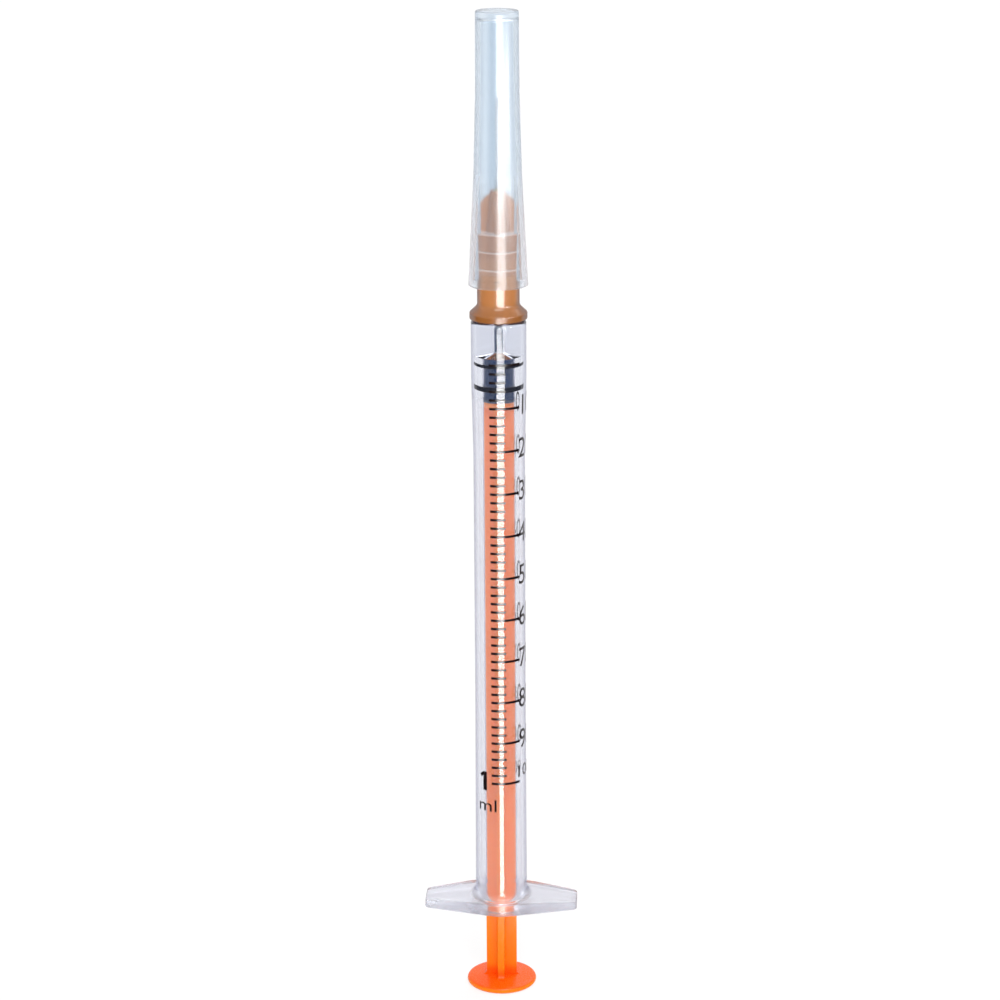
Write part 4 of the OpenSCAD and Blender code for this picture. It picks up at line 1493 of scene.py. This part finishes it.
class SYRINGE_OT_stage(Operator):
    """Makes the pale floor, the soft lamps, the strip light and the camera"""

    bl_idname = "syringe.stage"
    bl_label = "Studio"

    def execute(self, context):
        """Sets up the studio in which the syringe stands."""
        scene = context.scene
        sizes = scene.syringe_stage
        colours = scene.syringe_colours
        self.floor(colours)
        self.world(scene, sizes, colours)
        soft_lamp("key_lamp", sizes.key_level, azimuth=8, elevation=48, width=40)
        soft_lamp("back_lamp", sizes.back_level, azimuth=150, elevation=55, width=50)
        self.cards(sizes, colours)
        self.camera(scene, sizes)
        scene.view_settings.view_transform = "Standard"
        return {"FINISHED"}

    def floor(self, colours):
        """A pale floor that reaches past the view, and lies just clear of the thumb disc."""
        bm = bmesh.new()
        bmesh.ops.create_grid(bm, x_segments=1, y_segments=1, size=FLOOR_HALF)
        floor = new_object(bm, "paper_floor", floor_paper(colours))
        floor.location.z = -FLOOR_GAP

    def world(self, scene, sizes, colours):
        """Even light from all round, which shows as white behind the object."""
        world = bpy.data.worlds.new("studio")
        scene.world = world
        world.use_nodes = True
        tree = world.node_tree
        tree.nodes.clear()
        light = add(tree, "ShaderNodeBackground", {"Color": colours.light, "Strength": sizes.sky_level})
        white = add(tree, "ShaderNodeBackground", {"Color": colours.light, "Strength": 1.0})
        mixed = add(tree, "ShaderNodeMixShader", {0: seen_share(tree), 1: light, 2: white})
        add(tree, "ShaderNodeOutputWorld", {"Surface": mixed})

    def cards(self, sizes, colours):
        """Strip lights low in front, a panel above them and black cloth round them.

        They draw the long bright line up the syringe. Each row is the distance from the axis and
        the height in millimetres, then the left and right edge as angles from the camera's side.
        """
        near_rows = [
            (24, 0.5, -5, 11),
            (53, 0.5, -5.5, 11.5),
            (92, 0.5, -6.5, 12.5),
            (200, 0.5, -9, 19),
            (224, 0.5, -9, 19),
            (261, 0.5, -9, 21),
            (290, 0.5, -9, 24),
            (396, 0.5, -8, 25),
            (402, 0.5, -7, 12),
            (433, 0.5, -7, 12),
        ]
        far_rows = [(453, 0.5, -10, 32), (600, 0.5, -10, 32), (700, 0.5, -3, 30), (1700, 0.5, -3, 30)]
        panel_rows = [(100, 109.5, -2, 62), (100, 123.0, -2, 62), (100, 124.5, 3, 57), (100, 125.3, 12, 47)]
        flag_rows = [(out, 0.2, -104, 104) for out in (5.5, 345, 440, 1800)]
        glow = strip_glow(colours, sizes.strip_level)
        cloth = flag_cloth(colours, "black_flag_cloth", inside=False)
        thick_cloth = flag_cloth(colours, "thick_black_flag_cloth", inside=True)
        for name, rows, material, through_clear in (
            ("near_strip_light", near_rows, glow, False),
            ("far_strip_light", far_rows, glow, False),
            ("panel_light", panel_rows, glow, False),
            ("near_black_flag", flag_rows[:2], cloth, True),
            ("middle_black_flag", flag_rows[1:3], thick_cloth, True),
            ("far_black_flag", flag_rows[2:], cloth, True),
        ):
            self.card(name, rows, material, sizes.camera_turn, through_clear)

    def card(self, name, rows, material, turn, through_clear):
        """One card of the studio, bent round the axis through its rows, seen in gloss alone."""
        bm = bmesh.new()
        last = len(rows) - 1
        bmesh.ops.create_grid(bm, x_segments=CARD_STEPS, y_segments=last, size=0.5)
        for vert in bm.verts:
            out, up, left, right = rows[round((vert.co.y + 0.5) * last)]
            here = turn + math.radians(left + (right - left) * (vert.co.x + 0.5))
            vert.co = (out * MM * math.sin(here), -out * MM * math.cos(here), up * MM)
        card = new_object(bm, name, material)
        card.visible_camera = False
        card.visible_diffuse = False
        card.visible_shadow = False
        card.visible_transmission = through_clear

    def camera(self, scene, sizes):
        """The camera at the photograph's place."""
        data = bpy.data.cameras.new("camera")
        data.lens = sizes.lens
        data.sensor_width = 36.0
        data.clip_start = 0.01
        data.clip_end = 100.0
        camera = bpy.data.objects.new("camera", data)
        turn = sizes.camera_turn
        place = Vector((sizes.camera_side, -sizes.camera_out, sizes.camera_up))
        place.rotate(Euler((0, 0, turn)))
        aim = Euler((math.pi / 2 - sizes.camera_pitch, 0, turn)).to_matrix()
        aim = aim @ Matrix.Rotation(sizes.camera_roll, 3, "Z")
        camera.matrix_world = Matrix.Translation(place) @ aim.to_4x4()
        scene.collection.objects.link(camera)
        scene.camera = camera


OPERATORS = (
    SYRINGE_OT_barrel,
    SYRINGE_OT_print,
    SYRINGE_OT_stopper,
    SYRINGE_OT_rod,
    SYRINGE_OT_needle,
    SYRINGE_OT_cap,
    SYRINGE_OT_stage,
)


class SYRINGE_PT_pieces(Panel):
    """The syringe's pieces, sizes and colours"""

    bl_idname = "SYRINGE_PT_pieces"
    bl_label = "Insulin syringe"
    bl_space_type = "VIEW_3D"
    bl_region_type = "UI"
    bl_category = "Syringe"

    def draw(self, context):
        """Lists the operators, then the sizes and colours."""
        for operator in OPERATORS:
            self.layout.operator(operator.bl_idname)
        for attribute, group in GROUPS.items():
            box = self.layout.box()
            box.label(text=group.__doc__)
            values = getattr(context.scene, attribute)
            for key in group.__annotations__:
                box.prop(values, key)


def register():
    """Registers the classes and hangs the sizes on the scene."""
    for group in GROUPS.values():
        bpy.utils.register_class(group)
    for operator in OPERATORS:
        bpy.utils.register_class(operator)
    bpy.utils.register_class(SYRINGE_PT_pieces)
    for attribute, group in GROUPS.items():
        setattr(bpy.types.Scene, attribute, PointerProperty(type=group))


def unregister():
    """Takes the classes and the sizes away again."""
    for attribute in GROUPS:
        delattr(bpy.types.Scene, attribute)
    bpy.utils.unregister_class(SYRINGE_PT_pieces)
    for operator in reversed(OPERATORS):
        bpy.utils.unregister_class(operator)
    for group in reversed(GROUPS.values()):
        bpy.utils.unregister_class(group)


def main():
    """Makes every piece and the studio."""
    register()
    bpy.ops.syringe.barrel()
    bpy.ops.syringe.print_marks()
    bpy.ops.syringe.stopper()
    bpy.ops.syringe.rod()
    bpy.ops.syringe.needle()
    bpy.ops.syringe.cap()
    bpy.ops.syringe.stage()


if __name__ == "__main__":
    main()
